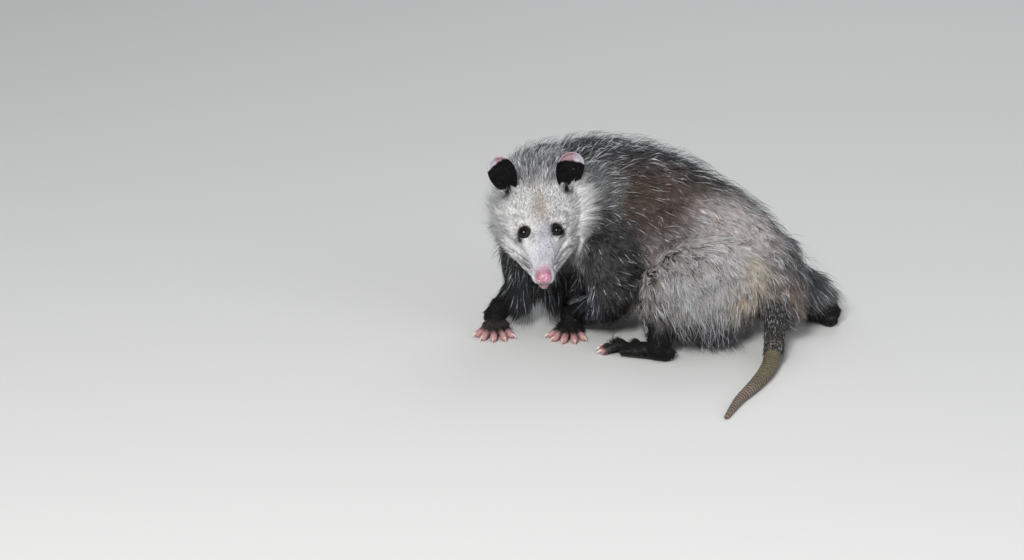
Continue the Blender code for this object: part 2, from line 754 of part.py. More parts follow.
def hindfoot(name, stations, degrees, inner):
    """A hind foot with its heel, long sole, four clawed toes and a thumb without a claw."""
    ankle, run, radius = limb_end(stations)
    ahead = ground_heading(degrees)
    heel = Vector((ankle.x, ankle.y, 0))
    rows = []
    for t, height, wide, above, below in SOLE:
        middle = heel + ahead * t
        rows.append((middle.x, middle.y, height, wide, above, below))
    foot = loft(name, rows, 10, 1)
    rows = []
    back, middle = ankle - run * 0.003, ankle + run * 0.004
    for place, r in ((back, radius), (middle, radius), (heel + Vector((0, 0, 0.0075)), radius * 0.8)):
        rows.append((*place, r, r, r))
    pieces = [loft("ankle", rows, 8, 1)]
    ball = heel + ahead * BALL_REACH
    for angle, reach in zip(TOE_ANGLES, TOE_REACHES):
        way = ground_heading(degrees + angle)
        pieces += toe(ball + way * 0.003, way, reach, TOE_RADIUS)
    way = ground_heading(degrees + inner * THUMB_ANGLE)
    pieces += toe(ball - ahead * 0.008, way, THUMB_REACH, TOE_RADIUS * 1.1, clawed=False)
    joined(foot, pieces)
    cut(foot, [block(ankle + run * GAP, -run, 0.02)])
    return floor_flat(foot)


def tail_core():
    """The tail as one form along its path, flat where it lies on the floor."""
    rows = [(x, y, z, r, r, r) for x, y, z, r in TAIL]
    return floor_flat(loft("tail", rows, 10, 3))


def tail_lengths(tail):
    """The tail parted into lengths by thin flat cuts."""
    rows = spline(TAIL, 10)
    made = []
    for i in range(1, TAIL_LENGTHS):
        k = round(i * (len(rows) - 1) / TAIL_LENGTHS)
        place, onward = Vector(rows[k][:3]), Vector(rows[k + 1][:3])
        cutter = disc(place, onward - place, 0.022)
        made.append(part_off(tail, cutter, f"tail_{i}", TAIL[0][:3]))
    tail.name = f"tail_{TAIL_LENGTHS}"
    return [*made, tail]


def part_body(body, head, chin, tail):
    """The body parted into neck, torso and the lengths of its limbs, each clear of what it meets."""
    cut(body, [grown(head), grown(chin), grown(tail)])
    made = [body]
    flats = (
        ("shin_left", KNEE_LEFT, SHIN_LEFT),
        ("shin_right", KNEE_RIGHT, SHIN_RIGHT),
        ("forearm_right", ELBOW_RIGHT, ARM_RIGHT),
    )
    for name, (point, direction, radius), stations in flats:
        end, run, _ = limb_end(stations)
        piece = part_off(body, disc(point, direction, radius), name, end)
        made.append(cut(piece, [block(end, run, 0.02)]))
    forearm = part_off(body, shell(*FOREARM_LEFT_PART), "forearm_left", ARM_LEFT[-1][:3])
    end, run, _ = limb_end(ARM_LEFT)
    made.append(cut(forearm, [block(end, run, 0.02)]))
    rounds = (
        ("thigh_left", THIGH_LEFT_PART, THIGH_LEFT[-1][:3]),
        ("thigh_right", THIGH_RIGHT_PART, THIGH_RIGHT[-1][:3]),
        ("arm_left", ARM_LEFT_PART, ARM_LEFT[1][:3]),
        ("arm_right", ARM_RIGHT_PART, ARM_RIGHT[1][:3]),
        ("neck", NECK_PART, NECK[0][:3]),
    )
    for name, (middle, radii), seed in rounds:
        made.append(part_off(body, shell(middle, radii), name, seed))
    return made


def coats():
    """The coat of each furred node, with the line that its fur follows."""
    lines = {name: [Vector(row[:3]) for row in TRUNK] for name in COAT_SIZES}
    lines["arm_left"] = [Vector(row[:3]) for row in ARM_LEFT]
    lines["arm_right"] = [Vector(row[:3]) for row in ARM_RIGHT]
    lines["head"] = [head_frame() @ Vector(row[:3]) for row in HEAD]
    lines["neck"] = lines["head"]
    return {name: Coat(*sizes, lines[name]) for name, sizes in COAT_SIZES.items()}


def coat_lie(coat, place, normal):
    """The way the fur lies at a place: along its path, down and out, flat to the skin."""
    stretches = list(zip(coat.path, coat.path[1:]))
    start, end = min(stretches, key=lambda pair: (place - (pair[0] + pair[1]) / 2).length)
    along = (end - start).normalized()
    out = place - start
    out = (out - along * out.dot(along)).normalized()
    lie = along + Vector((0, 0, -coat.droop)) + out * coat.spread
    return (lie - normal * lie.dot(normal)).normalized()


def face_bare(place):
    """Whether a place on the head is too far forward or too high for the ruff."""
    local = head_frame().inverted() @ place
    return local.y < RUFF_FROM or local.z > RUFF_TOP


def scattered(obj, skin, spacing, taken, rng):
    """Random places on the object's outer surface, none nearer to another than the spacing."""
    mesh = obj.data
    mesh.calc_loop_triangles()
    triangles = list(mesh.loop_triangles)
    areas = [triangle.area for triangle in triangles]
    tries = int(ROOT_TRIES * sum(areas) / spacing**2)
    tried = []
    for triangle in rng.choices(triangles, weights=areas, k=tries):
        corners = [mesh.vertices[i].co for i in triangle.vertices]
        low, high = sorted((rng.random(), rng.random()))
        place = corners[0] * low + corners[1] * (high - low) + corners[2] * (1 - high)
        _, normal, _, distance = skin.find_nearest(place)
        if distance > OUTER_DISTANCE or triangle.normal.dot(normal) < 0.5:
            continue
        if obj.name == "head" and face_bare(place):
            continue
        if all((place - other).length > spacing for other in taken):
            if all((place - other).length > spacing * RETRY_SHARE for other in tried):
                tried.append(place)
                yield place, normal


def lock(place, normal, lie, coat, raised, scale, bend):
    """A flat, tapered lock, rooted below the skin, that rises from it and bends over to lie along it."""
    across = normal.cross(lie).normalized()
    lift = math.radians(coat.lift + raised)
    length = coat.length * scale
    spots = {0: (place - normal * LOCK_SINK, lie)}
    here = place.copy()
    for step in range(1, LOCK_STEPS + 1):
        t = step / LOCK_STEPS
        climb = lift * (1 - coat.bend * t)
        ahead = lie * math.cos(climb) + normal * math.sin(climb) + across * bend * t
        here = here + ahead.normalized() * length / LOCK_STEPS
        spots[step] = (here, ahead.normalized())
    points = []
    for t, wide in LOCK_RINGS:
        middle, ahead = spots[round(t * LOCK_STEPS)]
        top = ahead.cross(across).normalized()
        if top.dot(normal) < 0:
            top = -top
        half, rise = across * coat.width * wide / 2, top * coat.thickness * wide
        points += [middle + half, middle + rise, middle - half]
    points.append(spots[LOCK_STEPS][0])
    last = 3 * (len(LOCK_RINGS) - 1)
    faces = [(2, 1, 0)]
    for i in range(0, last, 3):
        for j in range(3):
            k = (j + 1) % 3
            faces += [(i + j, i + k, i + 3 + k), (i + j, i + 3 + k, i + 3 + j)]
    faces += [(last + j, last + (j + 1) % 3, last + 3) for j in range(3)]
    made = mesh_object("lock", points, faces)
    turn_outwards(made.data)
    return made


def coat_locks(obj, coat, skin, bare, blocked, taken, rng):
    """The locks of one node, each clear of the floor, of bare parts and of every other node and its locks."""
    made = []
    for place, normal in scattered(obj, skin, coat.spacing, taken, rng):
        if any(tree.find_nearest(place)[3] < BARE_ROOM for tree in bare):
            continue
        lie = coat_lie(coat, place, normal)
        bend = rng.uniform(-LOCK_BEND, LOCK_BEND)
        size = rng.uniform(*LOCK_SIZES)
        for raised, scale in LOCK_TRIALS:
            found = lock(place, normal, lie, coat, raised, scale * size, bend)
            test = grown(found, 1.2 * GAP)
            tree = surface_tree(test)
            low = min(v.co.z for v in test.data.vertices)
            bpy.data.objects.remove(test)
            if low > FLOOR_CLEAR and not any(other.overlap(tree) for other in blocked):
                made.append((found, tree))
                taken.append(place)
                break
            bpy.data.objects.remove(found)
    return made


def grow_coat(nodes, skins, bare, others):
    """Fuses locks to each furred node, one node after another."""
    rng = random.Random(SEED)
    kinds = coats()
    bare_trees = [surface_tree(obj) for obj in bare]
    taken = []
    grown_trees = {}
    fixed = {obj.name: surface_tree(obj) for obj in [*nodes, *bare, *others]}
    by_name = {obj.name: obj for obj in nodes}
    for name, coat in kinds.items():
        obj = by_name[name]
        blocked = [tree for name, tree in fixed.items() if name != obj.name]
        blocked += [tree for name, trees in grown_trees.items() for tree in trees if name != obj.name]
        made = coat_locks(obj, coat, skins[obj.name], bare_trees, blocked, taken, rng)
        grown_trees[obj.name] = [tree for _, tree in made]
        joined(obj, [found for found, _ in made])


def tidied(obj):
    """The object without the slivers that joins and cuts leave."""
    work = bmesh.new()
    work.from_mesh(obj.data)
    bmesh.ops.triangulate(work, faces=work.faces)
    bmesh.ops.dissolve_degenerate(work, dist=SLIVER, edges=work.edges)
    bmesh.ops.triangulate(work, faces=work.faces)
    work.to_mesh(obj.data)
    work.free()
    return largest_body(obj)


def set_down(objects):
    """Moves the whole animal so that the base of its box is centred on the world's origin."""
    places = np.array([v.co for obj in objects for v in obj.data.vertices])
    low, high = places.min(0), places.max(0)
    shift = Vector((-(low[0] + high[0]) / 2, -(low[1] + high[1]) / 2, -low[2]))
    for obj in objects:
        obj.data.transform(Matrix.Translation(shift))


def dress(objects):
    """Gives each object its material and puts it in the animal's collection."""
    group = bpy.data.collections.new("opossum")
    bpy.context.scene.collection.children.link(group)
    for obj in objects:
        for home in list(obj.users_collection):
            home.objects.unlink(obj)
        group.objects.link(obj)
        colour, roughness = FINISHES[obj.name.split("_")[0]]
        obj.data.materials.clear()
        obj.data.materials.append(material(obj.name, colour, roughness))


def main():
    clear_scene()
    body = body_core()
    head = head_core()
    chin = jaw(head)
    tail = tail_core()
    whole = surface_tree(body)
    flesh = part_body(body, head, chin, tail)
    made = [head, chin]
    made += eyes(head)
    ears = [ear(1, head, "ear_left"), ear(-1, head, "ear_right")]
    made += [nose(head), *ears]
    made.append(forefoot("forefoot_left", ARM_LEFT, FOREFOOT_LEFT_HEADING))
    made.append(forefoot("forefoot_right", ARM_RIGHT, FOREFOOT_RIGHT_HEADING))
    made.append(hindfoot("hindfoot_left", SHIN_LEFT, HINDFOOT_LEFT_HEADING, -1))
    made.append(hindfoot("hindfoot_right", SHIN_RIGHT, HINDFOOT_RIGHT_HEADING, 1))
    nape = flesh[-1]
    for each in (*ears, chin):
        cut(each, [grown(nape)])
    furred = [*flesh, head]
    skins = {obj.name: whole for obj in flesh}
    skins["head"] = surface_tree(head)
    bare = [obj for obj in made if obj is not head]
    grow_coat(furred, skins, bare, [tail])
    made += flesh
    made += tail_lengths(tail)
    for obj in made:
        tidied(obj)
    set_down(made)
    dress(made)


main()
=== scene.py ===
"""The looks of a life-size opossum, crouched with its body curled round to its left.

The coat is solid hair over one continuous skin. Skin and coat share one table of coat regions, which
sets how the hair grows and how it is coloured. Eyes, nose, ears, feet, claws and tail are pieces of
their own. Sizes are metres and angles are degrees.
"""

from __future__ import annotations

import logging
import math

from dataclasses import dataclass, field
from enum import Enum

import bmesh
import bpy
import numpy as np
from mathutils import Matrix, Vector
from mathutils.bvhtree import BVHTree
from mathutils.kdtree import KDTree


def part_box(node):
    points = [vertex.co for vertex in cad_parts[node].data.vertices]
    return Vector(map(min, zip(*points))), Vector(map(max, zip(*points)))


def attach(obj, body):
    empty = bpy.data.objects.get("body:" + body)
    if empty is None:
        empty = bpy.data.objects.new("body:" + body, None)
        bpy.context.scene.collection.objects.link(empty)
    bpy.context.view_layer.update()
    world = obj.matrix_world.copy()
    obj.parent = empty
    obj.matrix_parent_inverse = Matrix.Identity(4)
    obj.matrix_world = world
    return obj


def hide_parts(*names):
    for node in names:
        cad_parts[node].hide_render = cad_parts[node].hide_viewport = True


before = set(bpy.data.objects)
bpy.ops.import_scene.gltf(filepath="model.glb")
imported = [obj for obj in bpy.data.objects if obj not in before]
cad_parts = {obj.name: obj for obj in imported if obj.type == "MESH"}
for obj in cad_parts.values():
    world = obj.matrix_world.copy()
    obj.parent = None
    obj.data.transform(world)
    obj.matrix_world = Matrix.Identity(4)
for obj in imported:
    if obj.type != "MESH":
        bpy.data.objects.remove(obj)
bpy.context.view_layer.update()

Vec3 = tuple[float, float, float]
Rows = tuple[tuple[float, ...], ...]

LOG = logging.getLogger("opossum")
ROOT_BODY = "root"
SEED = 11
UP = Vector((0, 0, 1))


class Slot(Enum):
    """The record's material slots, by which the coat's pieces are divided and named."""

    FACE = "face_fur"
    NAPE = "nape_fur"
    BACK = "back_fur"
    HAUNCH = "haunch_fur"
    LEG = "leg_fur"
    EYE = "eye"
    NOSE = "nose_skin"
    EAR = "ear_skin"
    FOOT = "foot_skin"
    TAIL = "tail_skin"


class Flow(Enum):
    """The lines that hair can follow."""

    TRUNK = "trunk"
    HEAD = "head"
    ARM_LEFT = "arm_left"
    ARM_RIGHT = "arm_right"
    SHIN_LEFT = "shin_left"
    SHIN_RIGHT = "shin_right"


class Space(Enum):
    """The frame that a region's place is given in."""

    BODY = "body"
    HEAD = "head"


class Wire:
    """A shader socket, with arithmetic that adds the nodes for it."""

    def __init__(self, paint: Paint, socket: bpy.types.NodeSocket) -> None:
        """Keeps the socket and the material it belongs to."""
        self.paint = paint
        self.socket = socket

    def _math(self, operation: str, *values: Wire | float) -> Wire:
        """Adds a Math node for the values."""
        return self.paint.node("ShaderNodeMath", {"operation": operation}, dict(enumerate(values)))

    def __add__(self, other: Wire | float) -> Wire:
        """The sum."""
        return self._math("ADD", self, other)

    __radd__ = __add__

    def __sub__(self, other: Wire | float) -> Wire:
        """The difference."""
        return self._math("SUBTRACT", self, other)

    def __rsub__(self, other: float) -> Wire:
        """The difference, taken from a number."""
        return self._math("SUBTRACT", other, self)

    def __mul__(self, other: Wire | float) -> Wire:
        """The product."""
        return self._math("MULTIPLY", self, other)

    __rmul__ = __mul__

    def __truediv__(self, other: Wire | float) -> Wire:
        """The quotient."""
        return self._math("DIVIDE", self, other)

    def __pow__(self, other: Wire | float) -> Wire:
        """The power."""
        return self._math("POWER", self, other)

    def above(self, edge: Wire | float) -> Wire:
        """One where the value is above an edge, else nothing."""
        return self._math("GREATER_THAN", self, edge)

    def sine(self) -> Wire:
        """The sine of the value in radians."""
        return self._math("SINE", self)

    def fraction(self) -> Wire:
        """What is left of the value past a whole number."""
        return self._math("FRACT", self)

    def most(self, other: Wire | float) -> Wire:
        """The larger of two values."""
        return self._math("MAXIMUM", self, other)

    def least(self, other: Wire | float) -> Wire:
        """The smaller of two values."""
        return self._math("MINIMUM", self, other)

    def eased(self, start: Wire | float, end: Wire | float) -> Wire:
        """Rises softly from nothing at the start value to one at the end value."""
        settings = {"interpolation_type": "SMOOTHSTEP"}
        return self.paint.node("ShaderNodeMapRange", settings, {0: self, 1: start, 2: end})

    def _vector(self, operation: str, other: Wire | Vec3 | None = None, output: int = 0) -> Wire:
        """Adds a Vector Math node for this vector and another."""
        values = {0: self} if other is None else {0: self, 1: other}
        return self.paint.node("ShaderNodeVectorMath", {"operation": operation}, values, output)

    def shifted(self, other: Wire | Vec3) -> Wire:
        """The vector with another added."""
        return self._vector("ADD", other)

    def less(self, other: Wire | Vec3) -> Wire:
        """The vector less another."""
        return self._vector("SUBTRACT", other)

    def stretched(self, other: Wire | Vec3) -> Wire:
        """The vector with each part multiplied."""
        return self._vector("MULTIPLY", other)

    def dot(self, other: Wire | Vec3) -> Wire:
        """The dot product."""
        return self._vector("DOT_PRODUCT", other, 1)

    def size(self) -> Wire:
        """The vector's length."""
        return self._vector("LENGTH", None, 1)

    def scaled(self, factor: Wire | float) -> Wire:
        """The vector at another size."""
        return self.paint.node("ShaderNodeVectorMath", {"operation": "SCALE"}, {0: self, 3: factor})

    def along(self, direction: Vec3) -> Wire:
        """A vector of this value times a direction."""
        return self.paint.node("ShaderNodeVectorMath", {"operation": "SCALE"}, {0: direction, 3: self})


class Paint:
    """The node tree of one material, built as expressions."""

    def __init__(self, name: str) -> None:
        """Makes the material with a Principled shader.

        Args:
            name: The material's name.
        """
        self.material = bpy.data.materials.new(name)
        self.material.use_nodes = True
        self.tree = self.material.node_tree
        self.shader = self.tree.nodes["Principled BSDF"]

    def node(self, kind: str, settings: dict, values: dict, output: int | str = 0) -> Wire:
        """Adds a node.

        Args:
            kind: The node's type.
            settings: Its properties, set first. A ramp's "stops" are places with colours.
            values: What each input holds or is linked to.
            output: The output wanted.

        Returns:
            The output's socket.
        """
        made = self.tree.nodes.new(kind)
        for name, value in settings.items():
            if name == "stops":
                ramp = made.color_ramp
                while len(ramp.elements) < len(value):
                    ramp.elements.new(0.5)
                for element, (place, colour) in zip(ramp.elements, value):
                    element.position = place
                    element.color = (*colour, 1)
            else:
                setattr(made, name, value)
        for key, value in values.items():
            self.feed(made.inputs[key], value)
        return Wire(self, made.outputs[output])

    def feed(self, socket: bpy.types.NodeSocket, value: Wire | float | Vec3) -> None:
        """Links a socket or sets its value.

        Args:
            socket: The input.
            value: What goes into it.
        """
        if isinstance(value, Wire):
            self.tree.links.new(value.socket, socket)
        elif isinstance(value, tuple) and len(socket.default_value) == 4:
            socket.default_value = (*value, 1)
        else:
            socket.default_value = value

    def surface(self, **values: Wire | float | Vec3) -> bpy.types.Material:
        """Sets inputs of the Principled shader, with _ for a space in a name.

        Args:
            values: The inputs by name.

        Returns:
            The finished material.
        """
        for name, value in values.items():
            self.feed(self.shader.inputs[name.replace("_", " ")], value)
        return self.material

    def attribute(self, name: str, output: str = "Fac") -> Wire:
        """A value that the mesh carries."""
        settings = {"attribute_type": "GEOMETRY", "attribute_name": name}
        return self.node("ShaderNodeAttribute", settings, {}, output)

    def noise(self, place: Wire, scale: float, detail: float = 3.0, output: str = "Fac") -> Wire:
        """Soft random variation, given in features per metre."""
        return self.node(
            "ShaderNodeTexNoise", {}, {"Vector": place, "Scale": scale, "Detail": detail}, output
        )

    def cells(self, place: Wire, scale: float, feature: str = "F1", output: str = "Distance") -> Wire:
        """Cell distances, given in cells per metre."""
        settings = {"feature": feature}
        return self.node("ShaderNodeTexVoronoi", settings, {"Vector": place, "Scale": scale}, output)

    def mix(self, share: Wire | float, first: Wire | Vec3, second: Wire | Vec3) -> Wire:
        """Two colours blended.

        Args:
            share: How much of the second.
            first: The first colour.
            second: The second colour.

        Returns:
            The blended colour.
        """
        settings = {"data_type": "RGBA"}
        return self.node("ShaderNodeMix", settings, {0: share, 6: first, 7: second}, 2)

    def tinted(self, colour: Wire, factor: Wire) -> Wire:
        """A colour made lighter or darker by a factor."""
        return colour.scaled(factor)

    def together(self, x: Wire | float, y: Wire | float, z: Wire | float) -> Wire:
        """A vector of three values."""
        return self.node("ShaderNodeCombineXYZ", {}, {0: x, 1: y, 2: z})

    def relief(self, height: Wire, depth: float, strength: float = 1.0) -> Wire:
        """A normal that shows a height.

        Args:
            height: The height, from nothing to one.
            depth: The depth that one stands for.
            strength: How much of it shows.

        Returns:
            The normal.
        """
        values = {"Height": height, "Distance": depth, "Strength": strength}
        return self.node("ShaderNodeBump", {}, values)


# Meshes.


def smooth_rows(rows: Rows, per_span: int) -> np.ndarray:
    """Rows of numbers on a smooth curve.

    Args:
        rows: The rows that the curve passes through.
        per_span: Steps between two rows.

    Returns:
        The rows of the curve.
    """
    known = [np.array(row, float) for row in rows]
    ends = [2 * known[0] - known[1], *known, 2 * known[-1] - known[-2]]
    found = []
    for a, b, c, d in zip(ends, ends[1:], ends[2:], ends[3:]):
        for step in range(per_span):
            t = step / per_span
            cubic = 3 * b - a - 3 * c + d
            found.append(0.5 * (2 * b + (c - a) * t + (2 * a - 5 * b + 4 * c - d) * t**2 + cubic * t**3))
    found.append(known[-1])
    return np.array(found)


def linked(name: str, mesh: bpy.types.Mesh) -> bpy.types.Object:
    """A new object in the scene for a mesh."""
    obj = bpy.data.objects.new(name, mesh)
    bpy.context.scene.collection.objects.link(obj)
    return obj


def faced_mesh(name: str, points: np.ndarray, quads: np.ndarray, triangles: np.ndarray) -> bpy.types.Object:
    """A smooth object from points and faces.

    Args:
        name: The object's name.
        points: Its vertices.
        quads: Four vertices a face, or none.
        triangles: Three vertices a face, or none.

    Returns:
        The object.
    """
    mesh = bpy.data.meshes.new(name)
    mesh.vertices.add(len(points))
    mesh.vertices.foreach_set("co", np.asarray(points, np.float32).ravel())
    loops = np.concatenate([quads.ravel(), triangles.ravel()]).astype(np.int32)
    starts = np.concatenate([4 * np.arange(len(quads)), 4 * len(quads) + 3 * np.arange(len(triangles))])
    mesh.loops.add(len(loops))
    mesh.loops.foreach_set("vertex_index", loops)
    mesh.polygons.add(len(starts))
    mesh.polygons.foreach_set("loop_start", starts.astype(np.int32))
    mesh.update(calc_edges=True)
    mesh.shade_smooth()
    return linked(name, mesh)


NO_FACES = np.zeros((0, 3), int)


def tube_faces(rings: int, sides: int) -> np.ndarray:
    """The quads round a tube of rings."""
    i, j = np.meshgrid(np.arange(rings - 1), np.arange(sides), indexing="ij")
    a, b = i * sides + j, i * sides + (j + 1) % sides
    return np.stack([a, b, b + sides, a + sides], -1).reshape(-1, 4)


def turned_out(mesh: bpy.types.Mesh) -> None:
    """Points every face of a closed mesh out."""
    work = bmesh.new()
    work.from_mesh(mesh)
    bmesh.ops.recalc_face_normals(work, faces=work.faces)
    if work.calc_volume(signed=True) < 0:
        bmesh.ops.reverse_faces(work, faces=work.faces)
    work.to_mesh(mesh)
    work.free()


def loft(name: str, rows: np.ndarray, sides: int = 24) -> bpy.types.Object:
    """A closed form through unlike oval sections.

    Args:
        name: The object's name.
        rows: Middle, half width, height above and depth below of each section.
        sides: Points round a section.

    Returns:
        The object.
    """
    middles = rows[:, :3]
    ahead = np.gradient(middles, axis=0)
    ahead /= np.linalg.norm(ahead, axis=1)[:, None]
    upright = np.where(np.abs(ahead[:, 2:3]) < 0.8, [[0, 0, 1]], [[0, -1, 0]])
    side = np.cross(ahead, upright)
    side /= np.linalg.norm(side, axis=1)[:, None]
    top = np.cross(side, ahead)
    turn = 2 * np.pi * np.arange(sides) / sides
    tall = np.where(np.sin(turn) > 0, rows[:, 4:5], rows[:, 5:6]) * np.sin(turn)
    wide = rows[:, 3:4] * np.cos(turn)
    points = middles[:, None] + side[:, None] * wide[..., None] + top[:, None] * tall[..., None]
    points = np.concatenate([points.reshape(-1, 3), middles[:1], middles[-1:]])
    count = len(rows) * sides
    j = np.arange(sides)
    front = np.stack([(j + 1) % sides, j, np.full(sides, count)], -1)
    back = count - sides + np.stack([j, (j + 1) % sides, np.full(sides, sides + 1)], -1)
    made = faced_mesh(name, points, tube_faces(len(rows), sides), np.concatenate([front, back]))
    turned_out(made.data)
    return made


def oval(name: str, middle: Vec3, radii: Vec3, segments: int = 24, rings: int = 16) -> bpy.types.Object:
    """A closed ellipsoid about a middle."""
    mesh = bpy.data.meshes.new(name)
    work = bmesh.new()
    bmesh.ops.create_uvsphere(work, u_segments=segments, v_segments=rings, radius=1)
    bmesh.ops.scale(work, vec=Vector(radii), verts=work.verts)
    bmesh.ops.translate(work, vec=Vector(middle), verts=work.verts)
    work.to_mesh(mesh)
    work.free()
    mesh.shade_smooth()
    return linked(name, mesh)


def settled(obj: bpy.types.Object) -> bpy.types.Object:
    """The object with its modifiers made part of its mesh."""
    graph = bpy.context.evaluated_depsgraph_get()
    made = bpy.data.meshes.new_from_object(obj.evaluated_get(graph))
    obj.modifiers.clear()
    obj.data = made
    return obj


def melded(name: str, pieces: list[bpy.types.Object], voxel: float, rounds: int) -> bpy.types.Object:
    """One smooth closed form round several.

    Args:
        name: The object's name.
        pieces: Closed objects, which are removed.
        voxel: How fine the form is.
        rounds: How often it is smoothed.

    Returns:
        The object.
    """
    work = bmesh.new()
    for piece in pieces:
        work.from_mesh(piece.data)
        bpy.data.objects.remove(piece)
    mesh = bpy.data.meshes.new(name)
    work.to_mesh(mesh)
    work.free()
    obj = linked(name, mesh)
    remesh = obj.modifiers.new("remesh", "REMESH")
    remesh.mode = "VOXEL"
    remesh.voxel_size = voxel
    smooth = obj.modifiers.new("smooth", "SMOOTH")
    smooth.factor = 0.5
    smooth.iterations = rounds
    settled(obj)
    obj.data.shade_smooth()
    return obj


def united(obj: bpy.types.Object, others: list[bpy.types.Object]) -> bpy.types.Object:
    """Fuses other closed objects to this one and removes them."""
    for other in others:
        join = obj.modifiers.new("join", "BOOLEAN")
        join.operation = "UNION"
        join.solver = "MANIFOLD"
        join.object = other
        settled(obj)
        bpy.data.objects.remove(other)
    return obj


def places(obj: bpy.types.Object) -> np.ndarray:
    """The object's vertices."""
    found = np.empty(3 * len(obj.data.vertices), np.float32)
    obj.data.vertices.foreach_get("co", found)
    return found.reshape(-1, 3).astype(float)


def moved(obj: bpy.types.Object, points: np.ndarray) -> None:
    """Puts the object's vertices at new places."""
    obj.data.vertices.foreach_set("co", np.asarray(points, np.float32).ravel())
    obj.data.update()


def carry(obj: bpy.types.Object, name: str, values: np.ndarray) -> None:
    """Stores a number or a vector for each vertex under a name."""
    if values.ndim == 1:
        layer = obj.data.attributes.new(name, "FLOAT", "POINT")
        layer.data.foreach_set("value", values.astype(np.float32))
    else:
        layer = obj.data.attributes.new(name, "FLOAT_VECTOR", "POINT")
        layer.data.foreach_set("vector", values.astype(np.float32).ravel())


def unit(vectors: np.ndarray) -> np.ndarray:
    """The vectors at length one."""
    return vectors / np.maximum(np.linalg.norm(vectors, axis=-1, keepdims=True), 1e-9)


def eased(values: np.ndarray, start: float, end: float) -> np.ndarray:
    """Rises softly from nothing at the start value to one at the end value."""
    t = np.clip((values - start) / (end - start), 0, 1)
    return t * t * (3 - 2 * t)


def dressed(obj: bpy.types.Object, material: bpy.types.Material, slot: Slot) -> bpy.types.Object:
    """Gives a finished piece its material and the body that it rides on."""
    obj.data.materials.clear()
    obj.data.materials.append(material)
    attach(obj, ROOT_BODY)
    obj.data.calc_loop_triangles()
    LOG.info("%s: %d triangles", obj.name, len(obj.data.loop_triangles))
    return obj


# Where everything lies.


@dataclass(frozen=True)
class Plan:
    """The frame of the head, and how far the drawn places lie from where the model rests.

    Head places are x to the animal's left, y back from the nose tip and z up from the snout.
    """

    nose_tip: Vec3 = (-0.1368, -0.070, 0.0872)
    pitch: float = 28
    lean: float = 3.5
    view_rise: float = 18
    pad_middle: Vec3 = (0, 0.0035, 0.0005)

    def drawn_head(self) -> Matrix:
        """The matrix from head places to drawn places."""
        pitch = math.radians(self.pitch)
        back = Vector((0, math.cos(pitch), math.sin(pitch)))
        rise = Vector((0, -math.sin(pitch), math.cos(pitch)))
        basis = Matrix((Vector((1, 0, 0)), back, rise)).transposed().to_4x4()
        view = math.radians(self.view_rise)
        to_viewer = Vector((0, -math.cos(view), math.sin(view)))
        lean = Matrix.Rotation(math.radians(self.lean), 4, to_viewer)
        return Matrix.Translation(Vector(self.nose_tip)) @ lean @ basis

    def shift(self) -> Vector:
        """From drawn places to where the model rests, found from the nose."""
        low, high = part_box("nose")
        return (low + high) / 2 - self.drawn_head() @ Vector(self.pad_middle)

    def head(self) -> Matrix:
        """The matrix from head places to the model."""
        return Matrix.Translation(self.shift()) @ self.drawn_head()

    def shifted(self, rows: Rows) -> Rows:
        """Rows whose first three numbers are drawn places, at rest."""
        shift = self.shift()
        return tuple((row[0] + shift.x, row[1] + shift.y, row[2] + shift.z, *row[3:]) for row in rows)


PLAN = Plan()
HEAD = PLAN.head()
HEAD_BACK = HEAD.inverted()
SHIFT = PLAN.shift()


def to_head(points: np.ndarray) -> np.ndarray:
    """Places of the model in the head's frame."""
    turn = np.array(HEAD_BACK)
    return points @ turn[:3, :3].T + turn[:3, 3]


def from_head(points: np.ndarray) -> np.ndarray:
    """Places of the head's frame in the model."""
    turn = np.array(HEAD)
    return points @ turn[:3, :3].T + turn[:3, 3]


@dataclass(frozen=True)
class EyePlace:
    """Where an eye's ball lies and the way it looks, with its side: 1 is the animal's left."""

    side: int
    facing: Vec3 = (0.42, -0.44, 0.78)

    @property
    def node(self) -> str:
        """The name of the eye's node."""
        return "eye_left" if self.side > 0 else "eye_right"

    def middle(self) -> Vector:
        """The middle of the ball."""
        low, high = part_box(self.node)
        return (low + high) / 2

    def radius(self) -> float:
        """The radius of the ball."""
        low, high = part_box(self.node)
        return max(high - low) / 2

    def axes(self) -> np.ndarray:
        """Directions outwards, upwards and to the front of the eye, as rows."""
        front = HEAD.to_3x3() @ Vector((self.side * self.facing[0], self.facing[1], self.facing[2]))
        front.normalize()
        outer = HEAD.to_3x3() @ Vector((self.side * 0.80, 0.55, -0.15))
        outer = (outer - front * outer.dot(front)).normalized()
        rise = front.cross(outer) * self.side
        return np.array([outer, rise, front])


# The coat's regions: where hair grows how, and in what colours.


